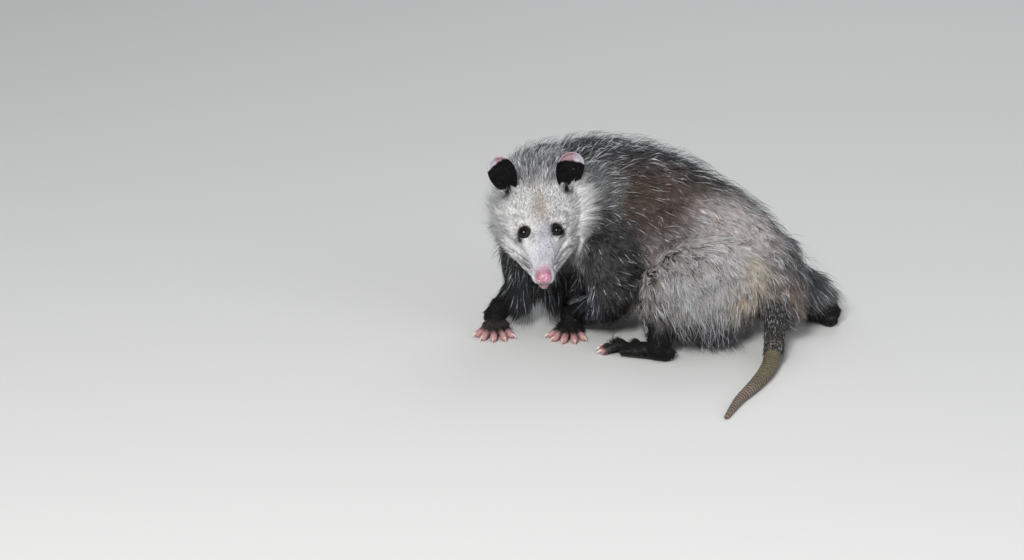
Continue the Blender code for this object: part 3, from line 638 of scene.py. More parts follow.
@dataclass(frozen=True)
class Region:
    """A soft oval part of the coat, drawn out to a second place where there is one.

    What is None stays as the regions before it leave it.
    """

    name: str
    middle: Vec3
    radii: Vec3
    soft: float = 0.35
    space: Space = Space.BODY
    slot: Slot | None = None
    root: Vec3 | None = None
    body: Vec3 | None = None
    tip: Vec3 | None = None
    silver: float | None = None
    length: float | None = None
    width: float | None = None
    spacing: float | None = None
    lift: float | None = None
    droop: float | None = None
    spread: float | None = None
    clump: float | None = None
    stray: float | None = None
    flow: Flow | None = None
    mirrored: bool = False
    to: Vec3 | None = None

    def sides(self) -> list[tuple[Vec3, Vec3]]:
        """Where the region starts and how far it is drawn out, with the other side's where there is one."""
        found = []
        for side in (1, -1) if self.mirrored else (1,):
            start, end = (Vector((side * x, y, z)) for x, y, z in (self.middle, self.to or self.middle))
            found.append((tuple(start), tuple(end - start)))
        return found

    def weight(self, drawn: np.ndarray, local: np.ndarray) -> np.ndarray:
        """How far each place belongs to the region.

        Args:
            drawn: Places as the stations are drawn.
            local: The same places in the head's frame.

        Returns:
            From nothing to one.
        """
        points = local if self.space is Space.HEAD else drawn
        found = np.zeros(len(points))
        for start, stretch in self.sides():
            rel, along = points - np.array(start), np.array(stretch)
            share = np.clip(rel @ along / max(along @ along, 1e-12), 0, 1)[:, None]
            away = np.linalg.norm((rel - share * along) / np.array(self.radii), axis=1)
            found = np.maximum(found, 1 - eased(away, 1 - self.soft, 1 + self.soft))
        return found

    def mask(self, drawn: Wire, local: Wire) -> Wire:
        """The same weight as a shader value."""
        place = local if self.space is Space.HEAD else drawn
        inverse = tuple(1 / r for r in self.radii)
        found = None
        for start, stretch in self.sides():
            rel = place.less(start)
            if self.to is not None:
                span = sum(part * part for part in stretch)
                share = rel.dot(tuple(part / span for part in stretch)).most(0.0).least(1.0)
                rel = rel.less(share.along(stretch))
            away = rel.stretched(inverse).size()
            near = 1 - away.eased(1 - self.soft, 1 + self.soft)
            found = near if found is None else found.most(near)
        return found


EVERYWHERE = (9.0, 9.0, 9.0)
REGIONS = (
    Region(
        "coat", (0, 0, 0), EVERYWHERE, slot=Slot.BACK, flow=Flow.TRUNK,
        root=(0.020, 0.018, 0.017), body=(0.085, 0.076, 0.070), tip=(0.21, 0.195, 0.185), silver=0.07,
        length=0.034, width=0.00072, spacing=0.0022, lift=30, droop=0.45, spread=0.0, clump=0.66, stray=1.0,
    ),
    # Ridge: darker along the top of the back, partly its dark fur and partly painted shade on the top.
    Region(
        "ridge", (0.03, 0.095, 0.160), (0.16, 0.070, 0.050),
        root=(0.008, 0.008, 0.009), body=(0.020, 0.021, 0.023), tip=(0.080, 0.084, 0.090), silver=0.08,
        length=0.040, lift=48,
    ),
    Region(
        "nape", (-0.10, 0.06, 0.195), (0.10, 0.085, 0.055), slot=Slot.NAPE,
        root=(0.009, 0.009, 0.010), body=(0.024, 0.026, 0.030), tip=(0.12, 0.13, 0.142), silver=0.15,
        length=0.037, lift=74, droop=0.0, clump=0.5,
    ),
    Region(
        "saddle", (-0.025, -0.015, 0.150), (0.078, 0.065, 0.050), soft=0.45,
        root=(0.020, 0.013, 0.011), body=(0.075, 0.052, 0.043), tip=(0.19, 0.145, 0.127), silver=0.03,
        length=0.028, lift=22,
    ),
    Region(
        "rump", (0.146, 0.05, 0.07), (0.076, 0.09, 0.085),
        root=(0.016, 0.016, 0.017), body=(0.052, 0.053, 0.056), tip=(0.155, 0.157, 0.163), silver=0.10,
        length=0.036,
    ),
    Region(
        "hip", (0.054, -0.010, 0.120), (0.052, 0.065, 0.044), soft=0.45, slot=Slot.HAUNCH,
        root=(0.10, 0.085, 0.078), body=(0.44, 0.39, 0.37), tip=(0.68, 0.63, 0.62), silver=0.15,
        length=0.026,
    ),
    # Flank: lighter grey, partly its fur and partly painted light that lifts the shaded recess between shoulder
    # and haunch.
    Region(
        "flank", (-0.022, -0.030, 0.088), (0.036, 0.045, 0.042), soft=0.5,
        root=(0.040, 0.033, 0.031), body=(0.25, 0.21, 0.20), tip=(0.43, 0.39, 0.385), silver=0.12,
        length=0.024,
    ),
    Region(
        "haunch", (0.060, -0.085, 0.088), (0.080, 0.060, 0.042), soft=0.4, slot=Slot.HAUNCH,
        root=(0.085, 0.076, 0.074), body=(0.43, 0.405, 0.40), tip=(0.70, 0.68, 0.675), silver=0.22,
        length=0.034, droop=1.0, lift=26,
    ),
    Region(
        "cream", (0.084, -0.075, 0.088), (0.022, 0.05, 0.036), soft=0.5,
        root=(0.15, 0.115, 0.075), body=(0.52, 0.44, 0.34), tip=(0.72, 0.65, 0.55),
    ),
    Region(
        "tan", (0.116, -0.045, 0.060), (0.024, 0.045, 0.034), soft=0.5,
        root=(0.04, 0.028, 0.024), body=(0.17, 0.127, 0.110), tip=(0.34, 0.28, 0.25),
    ),
    Region(
        "fringe", (0.030, -0.10, 0.030), (0.110, 0.09, 0.032), soft=0.4,
        root=(0.005, 0.005, 0.006), body=(0.018, 0.018, 0.021), tip=(0.085, 0.085, 0.098), silver=0.12,
        length=0.044, droop=1.7,
    ),
    Region(
        "shoulder", (-0.074, -0.030, 0.092), (0.034, 0.045, 0.034), soft=0.5,
        root=(0.009, 0.008, 0.008), body=(0.038, 0.034, 0.033), tip=(0.11, 0.100, 0.098), silver=0.04,
        length=0.024,
    ),
    # Chest: partly its dark fur and partly painted shade between the forelegs under the head.
    Region(
        "chest", (-0.125, -0.03, 0.050), (0.075, 0.075, 0.055), slot=Slot.LEG,
        root=(0.005, 0.004, 0.004), body=(0.012, 0.010, 0.010), tip=(0.032, 0.028, 0.028), silver=0.01,
        length=0.030, droop=1.6, lift=16,
    ),
    Region(
        "brisket", (-0.140, 0.006, 0.046), (0.040, 0.050, 0.034), soft=0.5, slot=Slot.LEG,
        length=0.058, lift=60, droop=2.4, spacing=0.0016, stray=0.5,
    ),
    Region(
        "armpit", (-0.150, 0.010, 0.066), (0.020, 0.050, 0.022), soft=0.5, slot=Slot.LEG,
        length=0.060, lift=48, droop=3.0, spacing=0.0014, stray=0.5,
    ),
    Region(
        "arm_left", (-0.078, -0.002, 0.045), (0.042, 0.045, 0.052), slot=Slot.LEG, flow=Flow.ARM_LEFT,
        root=(0.005, 0.005, 0.005), body=(0.010, 0.009, 0.009), tip=(0.026, 0.024, 0.025), silver=0.0,
        length=0.015, width=0.0008, spacing=0.0021, lift=20, droop=0.2,
    ),
    Region(
        "arm_right", (-0.178, 0.032, 0.045), (0.042, 0.045, 0.052), slot=Slot.LEG, flow=Flow.ARM_RIGHT,
        root=(0.005, 0.005, 0.005), body=(0.010, 0.009, 0.009), tip=(0.026, 0.024, 0.025), silver=0.0,
        length=0.015, width=0.0008, spacing=0.0021, lift=20, droop=0.2,
    ),
    Region(
        "arm_inner", (-0.158, 0.022, 0.054), (0.013, 0.034, 0.028), soft=0.5, slot=Slot.LEG,
        length=0.040, lift=62, droop=2.2, spacing=0.0014, stray=0.5,
    ),
    Region(
        "elbow", (-0.082, -0.022, 0.060), (0.020, 0.040, 0.020), soft=0.5,
        body=(0.024, 0.027, 0.035), tip=(0.17, 0.19, 0.24), silver=0.20, length=0.036, lift=40, droop=2.2,
    ),
    Region(
        "wrist_left", (-0.102, 0.010, 0.014), (0.024, 0.030, 0.020), slot=Slot.LEG,
        length=0.0080, width=0.0006, spacing=0.0015, lift=20, silver=0.0,
    ),
    Region(
        "wrist_right", (-0.187, 0.018, 0.014), (0.024, 0.030, 0.020), slot=Slot.LEG,
        length=0.0080, width=0.0006, spacing=0.0015, lift=20, silver=0.0,
    ),
    Region(
        "shin_left", (-0.022, -0.076, 0.018), (0.044, 0.034, 0.036), slot=Slot.LEG, flow=Flow.SHIN_LEFT,
        root=(0.005, 0.005, 0.005), body=(0.010, 0.009, 0.009), tip=(0.026, 0.024, 0.024), silver=0.0,
        length=0.010, width=0.0007, spacing=0.0018, lift=18, droop=0.0,
    ),
    Region(
        "shin_right", (0.180, 0.040, 0.014), (0.028, 0.036, 0.024), slot=Slot.LEG, flow=Flow.SHIN_RIGHT,
        root=(0.005, 0.005, 0.005), body=(0.010, 0.009, 0.009), tip=(0.026, 0.024, 0.024), silver=0.0,
        length=0.010, width=0.0007, spacing=0.0018, lift=18, droop=0.0,
    ),
    Region(
        "foot_left", (-0.060, -0.088, 0.006), (0.042, 0.026, 0.018), slot=Slot.LEG,
        length=0.0052, width=0.0006, spacing=0.0015, lift=12,
    ),
    Region(
        "foot_right", (0.195, 0.010, 0.006), (0.030, 0.036, 0.018), slot=Slot.LEG,
        length=0.0052, width=0.0006, spacing=0.0015, lift=12,
    ),
    Region(
        "tail_root", (0.112, -0.030, 0.050), (0.016, 0.018, 0.018), to=(0.110, -0.085, 0.018), soft=0.4,
        root=(0.008, 0.008, 0.008), body=(0.030, 0.029, 0.030), tip=(0.12, 0.12, 0.12), silver=0.10,
    ),
    Region(
        "ruff", (0, 0.095, 0.012), (0.072, 0.040, 0.046), soft=0.25, space=Space.HEAD, slot=Slot.FACE,
        root=(0.08, 0.08, 0.08), body=(0.29, 0.29, 0.285), tip=(0.52, 0.515, 0.51), silver=0.12,
        length=0.026, width=0.00066, spacing=0.0017, lift=44, droop=0.1, spread=1.0, clump=0.5,
        flow=Flow.HEAD,
    ),
    Region(
        "throat", (0, 0.095, -0.052), (0.095, 0.062, 0.036), soft=0.3, space=Space.HEAD,
        root=(0.008, 0.008, 0.009), body=(0.028, 0.029, 0.031), tip=(0.13, 0.135, 0.145), silver=0.08,
    ),
    Region(
        "face", (0, 0.035, 0.000), (0.054, 0.036, 0.048), to=(0, 0.080, 0.020), soft=0.2, space=Space.HEAD,
        slot=Slot.FACE, root=(0.68, 0.67, 0.66), body=(0.83, 0.825, 0.82), tip=(0.87, 0.865, 0.86), silver=0.0,
        length=0.0080, width=0.00046, spacing=0.00110, lift=7, droop=0.2, spread=0.45, clump=0.1, stray=0.10,
    ),
    Region(
        "cheek", (0.040, 0.072, 0.000), (0.020, 0.034, 0.034), soft=0.6, space=Space.HEAD,
        length=0.019, lift=40, spread=1.1, width=0.0006, stray=0.35, mirrored=True,
    ),
    Region(
        "temple", (0.042, 0.096, 0.012), (0.022, 0.026, 0.034), soft=0.6, space=Space.HEAD,
        length=0.029, lift=52, spread=1.2, width=0.0006, stray=0.5, mirrored=True,
    ),
    # Ruff edge, on the animal's left only: partly grey neck fur, partly painted shade that tones down the more
    # brightly lit side.
    Region(
        "ruff_edge", (0.062, 0.080, 0.018), (0.0155, 0.045, 0.045), soft=0.45, space=Space.HEAD,
        root=(0.03, 0.03, 0.03), body=(0.13, 0.128, 0.128), tip=(0.30, 0.297, 0.297), silver=0.16,
    ),
    Region(
        "neck_side", (0.066, 0.018, -0.030), (0.027, 0.020, 0.022), to=(0.068, 0.066, 0.004), soft=0.22,
        space=Space.HEAD, slot=Slot.BACK, flow=Flow.TRUNK,
        root=(0.009, 0.009, 0.010), body=(0.040, 0.038, 0.038), tip=(0.15, 0.145, 0.147), silver=0.03,
        length=0.024, lift=30, droop=0.8, stray=0.8,
    ),
    Region(
        "crown", (0, 0.120, 0.060), (0.036, 0.030, 0.026), soft=0.4, space=Space.HEAD, slot=Slot.NAPE,
        root=(0.020, 0.019, 0.019), body=(0.085, 0.083, 0.086), tip=(0.50, 0.50, 0.51), silver=0.40,
        length=0.027, width=0.0006, spacing=0.0015, lift=74, spread=0.3, clump=0.40,
    ),
    Region(
        "forehead", (0, 0.066, 0.040), (0.0075, 0.022, 0.014), soft=0.8, space=Space.HEAD,
        root=(0.42, 0.37, 0.335), body=(0.60, 0.55, 0.515), tip=(0.66, 0.62, 0.585),
    ),
    Region(
        "snout", (0, 0.016, 0.0), (0.026, 0.026, 0.032), soft=0.35, space=Space.HEAD,
        root=(0.66, 0.64, 0.67), body=(0.77, 0.76, 0.805), tip=(0.82, 0.81, 0.855), silver=0.0,
        length=0.0048, width=0.00040, spacing=0.00088, lift=7, droop=0.0, spread=0.1, clump=0.1, stray=0.12,
    ),
    Region(
        "bridge", (0, 0.014, 0.014), (0.0050, 0.010, 0.010), to=(0, 0.044, 0.028), soft=0.7, space=Space.HEAD,
        root=(0.58, 0.56, 0.61), body=(0.72, 0.70, 0.76), tip=(0.79, 0.775, 0.83),
    ),
    # Crease: a thin darker line from below each eye towards the nose, painted shade along the crease.
    Region(
        "crease", (0.0300, 0.0500, 0.0000), (0.0012, 0.0030, 0.0040), to=(0.0135, 0.022, -0.0010), soft=0.6,
        space=Space.HEAD, root=(0.32, 0.31, 0.32), body=(0.44, 0.42, 0.44), tip=(0.55, 0.53, 0.56),
        mirrored=True,
    ),
    Region(
        "corner", (0.0078, 0.0440, 0.0190), (0.0048, 0.0095, 0.0065), soft=0.6, space=Space.HEAD,
        root=(0.10, 0.08, 0.10), body=(0.20, 0.16, 0.20), tip=(0.32, 0.27, 0.325), mirrored=True,
    ),
    Region(
        "blush", (0.0215, 0.0590, 0.0265), (0.0045, 0.0050, 0.0050), soft=0.6, space=Space.HEAD,
        root=(0.36, 0.23, 0.23), body=(0.50, 0.37, 0.37), tip=(0.60, 0.50, 0.49), mirrored=True,
    ),
    Region(
        "before_eye", (0.0140, 0.0400, 0.0150), (0.0095, 0.0120, 0.0100), soft=0.3, space=Space.HEAD,
        length=0.0032, width=0.00042, spacing=0.0010, lift=14, mirrored=True,
    ),
    Region(
        "lids", (0.0153, 0.0505, 0.0190), (0.0098, 0.0102, 0.0098), soft=0.18, space=Space.HEAD,
        root=(0.006, 0.005, 0.006), body=(0.014, 0.012, 0.013), tip=(0.035, 0.030, 0.032), silver=0.0,
        length=0.0032, width=0.00042, spacing=0.0010, lift=12, mirrored=True,
    ),
    Region(
        "nose_end", (0, 0.003, 0.003), (0.0092, 0.0115, 0.0095), soft=0.45, space=Space.HEAD,
        root=(0.55, 0.27, 0.34), body=(0.62, 0.38, 0.45), tip=(0.70, 0.52, 0.58),
        length=0.0024, spacing=0.0012,
    ),
    # Chin: pink lip and chin colour, made lighter as painted light against the shade under the nose.
    Region(
        "chin", (0, 0.006, -0.0185), (0.010, 0.014, 0.0075), soft=0.5, space=Space.HEAD,
        root=(0.55, 0.34, 0.39), body=(0.74, 0.53, 0.58), tip=(0.82, 0.66, 0.70), length=0.003,
    ),
    # Mouth: a dark line along each side of the mouth, partly lip colour and partly painted shade in the slit.
    Region(
        "mouth", (0.0030, 0.0020, -0.0125), (0.0009, 0.0009, 0.0009), to=(0.0150, 0.0340, -0.0110), soft=0.6,
        space=Space.HEAD, root=(0.05, 0.020, 0.026), body=(0.09, 0.040, 0.050), tip=(0.20, 0.12, 0.14),
        mirrored=True,
    ),
    # Notch: painted shade in the gap under the nose pad.
    Region(
        "notch", (0, -0.0030, -0.0085), (0.0022, 0.0040, 0.0024), soft=0.5, space=Space.HEAD,
        root=(0.03, 0.010, 0.014), body=(0.05, 0.020, 0.028), tip=(0.10, 0.05, 0.06),
    ),
    Region(
        "ear_root", (0.0315, 0.0895, 0.0400), (0.0050, 0.0085, 0.0070), soft=0.4, space=Space.HEAD,
        root=(0.004, 0.004, 0.004), body=(0.009, 0.008, 0.008), tip=(0.025, 0.023, 0.023), silver=0.0,
        length=0.008, lift=36, mirrored=True,
    ),
)


@dataclass(frozen=True)
class Stand:
    """A foot: its node, the limb that it ends, the way it points, and for a hind foot its thumb's side."""

    node: str
    limb: str
    heading: float
    thumb: int = 0

    @property
    def hind(self) -> bool:
        """Whether it is a hind foot."""
        return self.thumb != 0

    def way(self, degrees: float = 0) -> Vector:
        """A direction along the floor, turned from the foot's heading."""
        return Matrix.Rotation(math.radians(self.heading + degrees), 3, "Z") @ Vector((0, -1, 0))


STANDS = (
    Stand("forefoot_left", "arm_left", -16),
    Stand("forefoot_right", "arm_right", -5),
    Stand("hindfoot_left", "shin_left", -114, -1),
    Stand("hindfoot_right", "shin_right", -152, 1),
)


@dataclass
class Growth:
    """How hair grows at each of a set of places, worked out from the regions."""

    drawn: np.ndarray
    local: np.ndarray

    def blended(self, quality: str) -> np.ndarray:
        """One number of the regions at each place.

        Args:
            quality: The name of the number, such as "length".

        Returns:
            The number at each place.
        """
        found = np.zeros(len(self.drawn))
        for region in REGIONS:
            value = getattr(region, quality)
            if value is not None:
                found += region.weight(self.drawn, self.local) * (value - found)
        return found

    def slots(self) -> np.ndarray:
        """The slot of each place, by its order in Slot."""
        order = list(Slot)
        found = np.zeros(len(self.drawn), int)
        for region in REGIONS:
            if region.slot is not None:
                found[region.weight(self.drawn, self.local) > 0.5] = order.index(region.slot)
        return found


@dataclass(frozen=True)
class Flesh:
    """The animal's flesh: stations of middle, half width, height above and depth below."""

    trunk: Rows = (
        (-0.143, 0.004, 0.098, 0.027, 0.030, 0.078),
        (-0.128, 0.026, 0.108, 0.056, 0.082, 0.086),
        (-0.088, 0.050, 0.110, 0.076, 0.093, 0.080),
        (-0.020, 0.054, 0.104, 0.083, 0.087, 0.080),
        (0.045, 0.038, 0.090, 0.079, 0.068, 0.067),
        (0.088, 0.012, 0.075, 0.064, 0.053, 0.053),
        (0.114, -0.014, 0.058, 0.044, 0.037, 0.038),
        (0.128, -0.032, 0.046, 0.022, 0.020, 0.024),
    )
    neck: Rows = (
        (-0.1385, 0.004, 0.150, 0.046, 0.046, 0.044),
        (-0.135, 0.026, 0.146, 0.056, 0.056, 0.052),
        (-0.122, 0.048, 0.132, 0.064, 0.064, 0.060),
    )
    thigh_left: Rows = (
        (0.075, -0.022, 0.082, 0.036, 0.040, 0.046),
        (0.045, -0.045, 0.076, 0.040, 0.052, 0.054),
        (0.006, -0.060, 0.073, 0.038, 0.049, 0.046),
        (-0.024, -0.063, 0.070, 0.026, 0.032, 0.032),
    )
    shin_left: Rows = (
        (-0.016, -0.063, 0.066, 0.022, 0.022, 0.022),
        (-0.010, -0.072, 0.040, 0.0185, 0.0185, 0.0185),
        (-0.012, -0.078, 0.0250, 0.0140, 0.0140, 0.0140),
        (-0.013, -0.080, 0.0170, 0.0120, 0.0120, 0.0120),
    )
    thigh_right: Rows = (
        (0.098, 0.022, 0.072, 0.036, 0.040, 0.042),
        (0.108, 0.048, 0.066, 0.036, 0.042, 0.044),
        (0.118, 0.070, 0.058, 0.028, 0.032, 0.034),
        (0.124, 0.084, 0.052, 0.018, 0.020, 0.020),
    )
    shin_right: Rows = (
        (0.128, 0.078, 0.050, 0.0200, 0.0200, 0.0200),
        (0.156, 0.056, 0.038, 0.0185, 0.0185, 0.0185),
        (0.174, 0.040, 0.0250, 0.0145, 0.0145, 0.0145),
        (0.179, 0.036, 0.0180, 0.0120, 0.0120, 0.0120),
    )
    arm_left: Rows = (
        (-0.070, 0.012, 0.110, 0.036, 0.036, 0.036),
        (-0.058, -0.006, 0.074, 0.032, 0.032, 0.032),
        (-0.063, -0.011, 0.045, 0.024, 0.024, 0.024),
        (-0.079, 0.000, 0.0300, 0.0160, 0.0160, 0.0160),
        (-0.094, 0.009, 0.0225, 0.0130, 0.0130, 0.0130),
        (-0.102, 0.014, 0.0190, 0.0110, 0.0110, 0.0110),
    )
    arm_right: Rows = (
        (-0.147, 0.050, 0.110, 0.030, 0.030, 0.030),
        (-0.156, 0.042, 0.076, 0.027, 0.027, 0.027),
        (-0.161, 0.038, 0.050, 0.0200, 0.0200, 0.0200),
        (-0.171, 0.031, 0.0345, 0.0155, 0.0155, 0.0155),
        (-0.182, 0.025, 0.0245, 0.0128, 0.0128, 0.0128),
        (-0.187, 0.021, 0.0190, 0.0110, 0.0110, 0.0110),
    )
    skull: Rows = (
        (0, 0.003, 0.0010, 0.0078, 0.0065, 0.0070),
        (0, 0.016, 0.0030, 0.0112, 0.0110, 0.0130),
        (0, 0.028, 0.0050, 0.0152, 0.0150, 0.0165),
        (0, 0.044, 0.0080, 0.0228, 0.0220, 0.0225),
        (0, 0.062, 0.0120, 0.0350, 0.0290, 0.0310),
        (0, 0.082, 0.0160, 0.0452, 0.0355, 0.0410),
        (0, 0.101, 0.0180, 0.0475, 0.0390, 0.0460),
        (0, 0.122, 0.0200, 0.0430, 0.0380, 0.0450),
    )
    cheeks: Rows = (
        (0, 0.0050, -0.0060, 0.0080, 0.0060, 0.0045),
        (0, 0.0130, -0.0075, 0.0138, 0.0095, 0.0060),
        (0, 0.0300, -0.0090, 0.0238, 0.0140, 0.0075),
        (0, 0.0460, -0.0095, 0.0322, 0.0190, 0.0100),
        (0, 0.0600, -0.0085, 0.0392, 0.0245, 0.0140),
        (0, 0.0760, -0.0050, 0.0448, 0.0290, 0.0190),
        (0, 0.0920, 0.0000, 0.0470, 0.0310, 0.0230),
        (0, 0.1060, 0.0060, 0.0400, 0.0260, 0.0220),
    )
    jaw: Rows = (
        (0, 0.0040, -0.0135, 0.0030, 0.0030, 0.0050),
        (0, 0.0062, -0.0135, 0.0054, 0.0045, 0.0080),
        (0, 0.0200, -0.0140, 0.0086, 0.0065, 0.0090),
        (0, 0.0400, -0.0145, 0.0130, 0.0080, 0.0082),
        (0, 0.0600, -0.0150, 0.0200, 0.0085, 0.0092),
        (0, 0.0760, -0.0150, 0.0220, 0.0085, 0.0085),
    )
    brow: Vec3 = (0.0170, 0.0610, 0.0315)
    brow_size: Vec3 = (0.0110, 0.0130, 0.0026)
    muzzle: Vec3 = (0.0058, 0.0112, -0.0045)
    muzzle_size: Vec3 = (0.0066, 0.0100, 0.0080)
    trunk_coat: float = 0.0095
    thigh_coat: float = 0.0070
    limb_coat: float = 0.0022
    skull_coat: tuple[float, ...] = (0.0004, 0.0006, 0.0010, 0.0016, 0.0030, 0.0058, 0.0070, 0.0070)
    cheeks_coat: tuple[float, ...] = (0.0006, 0.0010, 0.0016, 0.0022, 0.0036, 0.0050, 0.0060, 0.0060)
    jaw_coat: float = 0.0006
    body_voxel: float = 0.0022
    head_voxel: float = 0.00082
    lid_rim: float = 0.0008
    lid_wide: float = 0.0064
    lid_tall: float = 0.0059
    lid_reach: float = 2.3
    lid_bare: float = 1.14
    pad_bare: float = 1.25
    mouth_depth: float = 0.0014
    foot_flow: float = 0.05

    def flow_line(self, flow: Flow) -> np.ndarray:
        """The middles of the stations that a flow follows, as drawn, and on along the foot below."""
        line = [row[:3] for row in getattr(self, flow.value)]
        for stand in STANDS:
            if stand.limb == flow.value:
                line.append(tuple(Vector(line[-1]) + stand.way() * self.foot_flow))
        return np.array(line)

    def form(self, name: str, rows: Rows, coat: float | tuple[float, ...]) -> bpy.types.Object:
        """A form of the flesh, less its share of the coat's depth.

        Args:
            name: Its name.
            rows: Its stations.
            coat: The depth taken off, at each station or at all.

        Returns:
            The closed object, at rest.
        """
        table = np.array(rows, float)
        table[:, 3:6] = np.maximum(table[:, 3:6] - np.reshape(coat, (-1, 1)), 0.003)
        table[:, :3] += np.array(SHIFT)
        return loft(name, smooth_rows(tuple(map(tuple, table)), 4))

    def body(self) -> bpy.types.Object:
        """Trunk, neck and limbs as one form."""
        pieces = [
            self.form("trunk", self.trunk, self.trunk_coat),
            self.form("neck", self.neck, self.trunk_coat),
            self.form("thigh_left", self.thigh_left, self.thigh_coat),
            self.form("thigh_right", self.thigh_right, self.thigh_coat),
            self.form("shin_left", self.shin_left, self.limb_coat),
            self.form("shin_right", self.shin_right, self.limb_coat),
            self.form("arm_left", self.arm_left, self.limb_coat),
            self.form("arm_right", self.arm_right, self.limb_coat),
        ]
        return melded("body", pieces, self.body_voxel, 8)

    def head_form(self, name: str, rows: Rows, coat: float | tuple[float, ...]) -> bpy.types.Object:
        """A form of the head, whose stations are head places."""
        table = np.array(rows, float)
        table[:, 3:6] = np.maximum(table[:, 3:6] - np.reshape(coat, (-1, 1)), 0.002)
        made = loft(name, smooth_rows(tuple(map(tuple, table)), 5), 32)
        made.data.transform(HEAD)
        return made

    def head(self, eyes: list[EyePlace]) -> bpy.types.Object:
        """The head with its brows, muzzle, jaw, lids and the line of the mouth.

        Args:
            eyes: The places of the eyes.

        Returns:
            The closed head.
        """
        pieces = [
            self.head_form("skull", self.skull, self.skull_coat),
            self.head_form("cheeks", self.cheeks, self.cheeks_coat),
            self.head_form("jaw", self.jaw, self.jaw_coat),
        ]
        for side in (1, -1):
            for middle, size in ((self.brow, self.brow_size), (self.muzzle, self.muzzle_size)):
                lump = oval("lump", (side * middle[0], middle[1], middle[2]), size)
                lump.data.transform(HEAD)
                pieces.append(lump)
        head = melded("head", pieces, self.head_voxel, 14)
        points = places(head)
        points = self.mouth(points)
        for eye in eyes:
            points = self.lids(points, eye)
        moved(head, points)
        return head

    def mouth(self, points: np.ndarray) -> np.ndarray:
        """Presses the line of the mouth in, from under the nose back along each side."""
        local = to_head(points)
        line = -0.0118 - 0.0010 * np.cos(local[:, 1] * 120) + 0.10 * local[:, 1]
        off = (local[:, 2] - line) / 0.0011
        along = (1 - eased(local[:, 1], 0.040, 0.052)) * eased(local[:, 1], -0.006, -0.001)
        depth = self.mouth_depth * np.exp(-off * off) * along
        side = np.sign(local[:, 0]) * np.minimum(np.abs(local[:, 0]) / 0.004, 1)
        local[:, 0] -= depth * side
        local[:, 1] += depth * (1 - np.abs(side)) * 1.6
        return from_head(local)

    def lids(self, points: np.ndarray, eye: EyePlace) -> np.ndarray:
        """Opens the skin over an eye and rolls the lids' rims round the ball.

        Args:
            points: The head's vertices.
            eye: The eye's place.

        Returns:
            The moved vertices.
        """
        axes = eye.axes()
        radius = eye.radius()
        rel = (points - np.array(eye.middle())) @ axes.T
        across, up, front = rel.T
        away = self.opening(points, eye)
        ball = np.sqrt(np.maximum(radius**2 - across**2 - up**2, 0))
        rim = ball + self.lid_rim
        sunk = ball - 0.0022
        rolled = sunk + (rim - sunk) * eased(away, 0.86, 1.04)
        hold = 1 - eased(away, 1.12, self.lid_reach)
        rel[:, 2] = np.where(away < self.lid_reach, front + (rolled - front) * hold, front)
        return rel @ axes + np.array(eye.middle())

    def opening(self, points: np.ndarray, eye: EyePlace) -> np.ndarray:
        """How far places on the head are from the middle of an eye's opening: one at its rim."""
        rel = (points - np.array(eye.middle())) @ eye.axes().T
        across, up, front = rel.T
        tall = self.lid_tall * np.where(up > 0, 1.0, 0.92) * (1 - 0.10 * (across / self.lid_wide) ** 2)
        away = np.hypot(across / self.lid_wide, up / np.maximum(tall, 0.002))
        return np.where(front > -0.2 * eye.radius(), away, 9.0)

    def skin(self, eyes: list[EyePlace], material: bpy.types.Material) -> bpy.types.Object:
        """The one continuous skin of body and head.

        Args:
            eyes: The places of the eyes.
            material: The skin's finish.

        Returns:
            The skin.
        """
        made = united(self.body(), [self.head(eyes)])
        made.name = "skin"
        made.data.shade_smooth()
        points = places(made)
        lid = np.minimum(*(self.opening(points, eye) for eye in eyes))
        pad = np.linalg.norm((to_head(points) - np.array(PLAN.pad_middle)) / np.array(Nose.pad), axis=1)
        carry(made, "place", points - np.array(SHIFT))
        carry(made, "lid", lid)
        carry(made, "bare", ((lid < self.lid_bare) | (pad < self.pad_bare)).astype(float))
        carry(made, "along", np.zeros(len(points)))
        carry(made, "shade", np.zeros(len(points)))
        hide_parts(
            "torso", "neck", "head", "jaw", "thigh_left", "thigh_right", "shin_left", "shin_right",
            "arm_left", "arm_right", "forearm_left", "forearm_right",
        )
        return dressed(made, material, Slot.BACK)


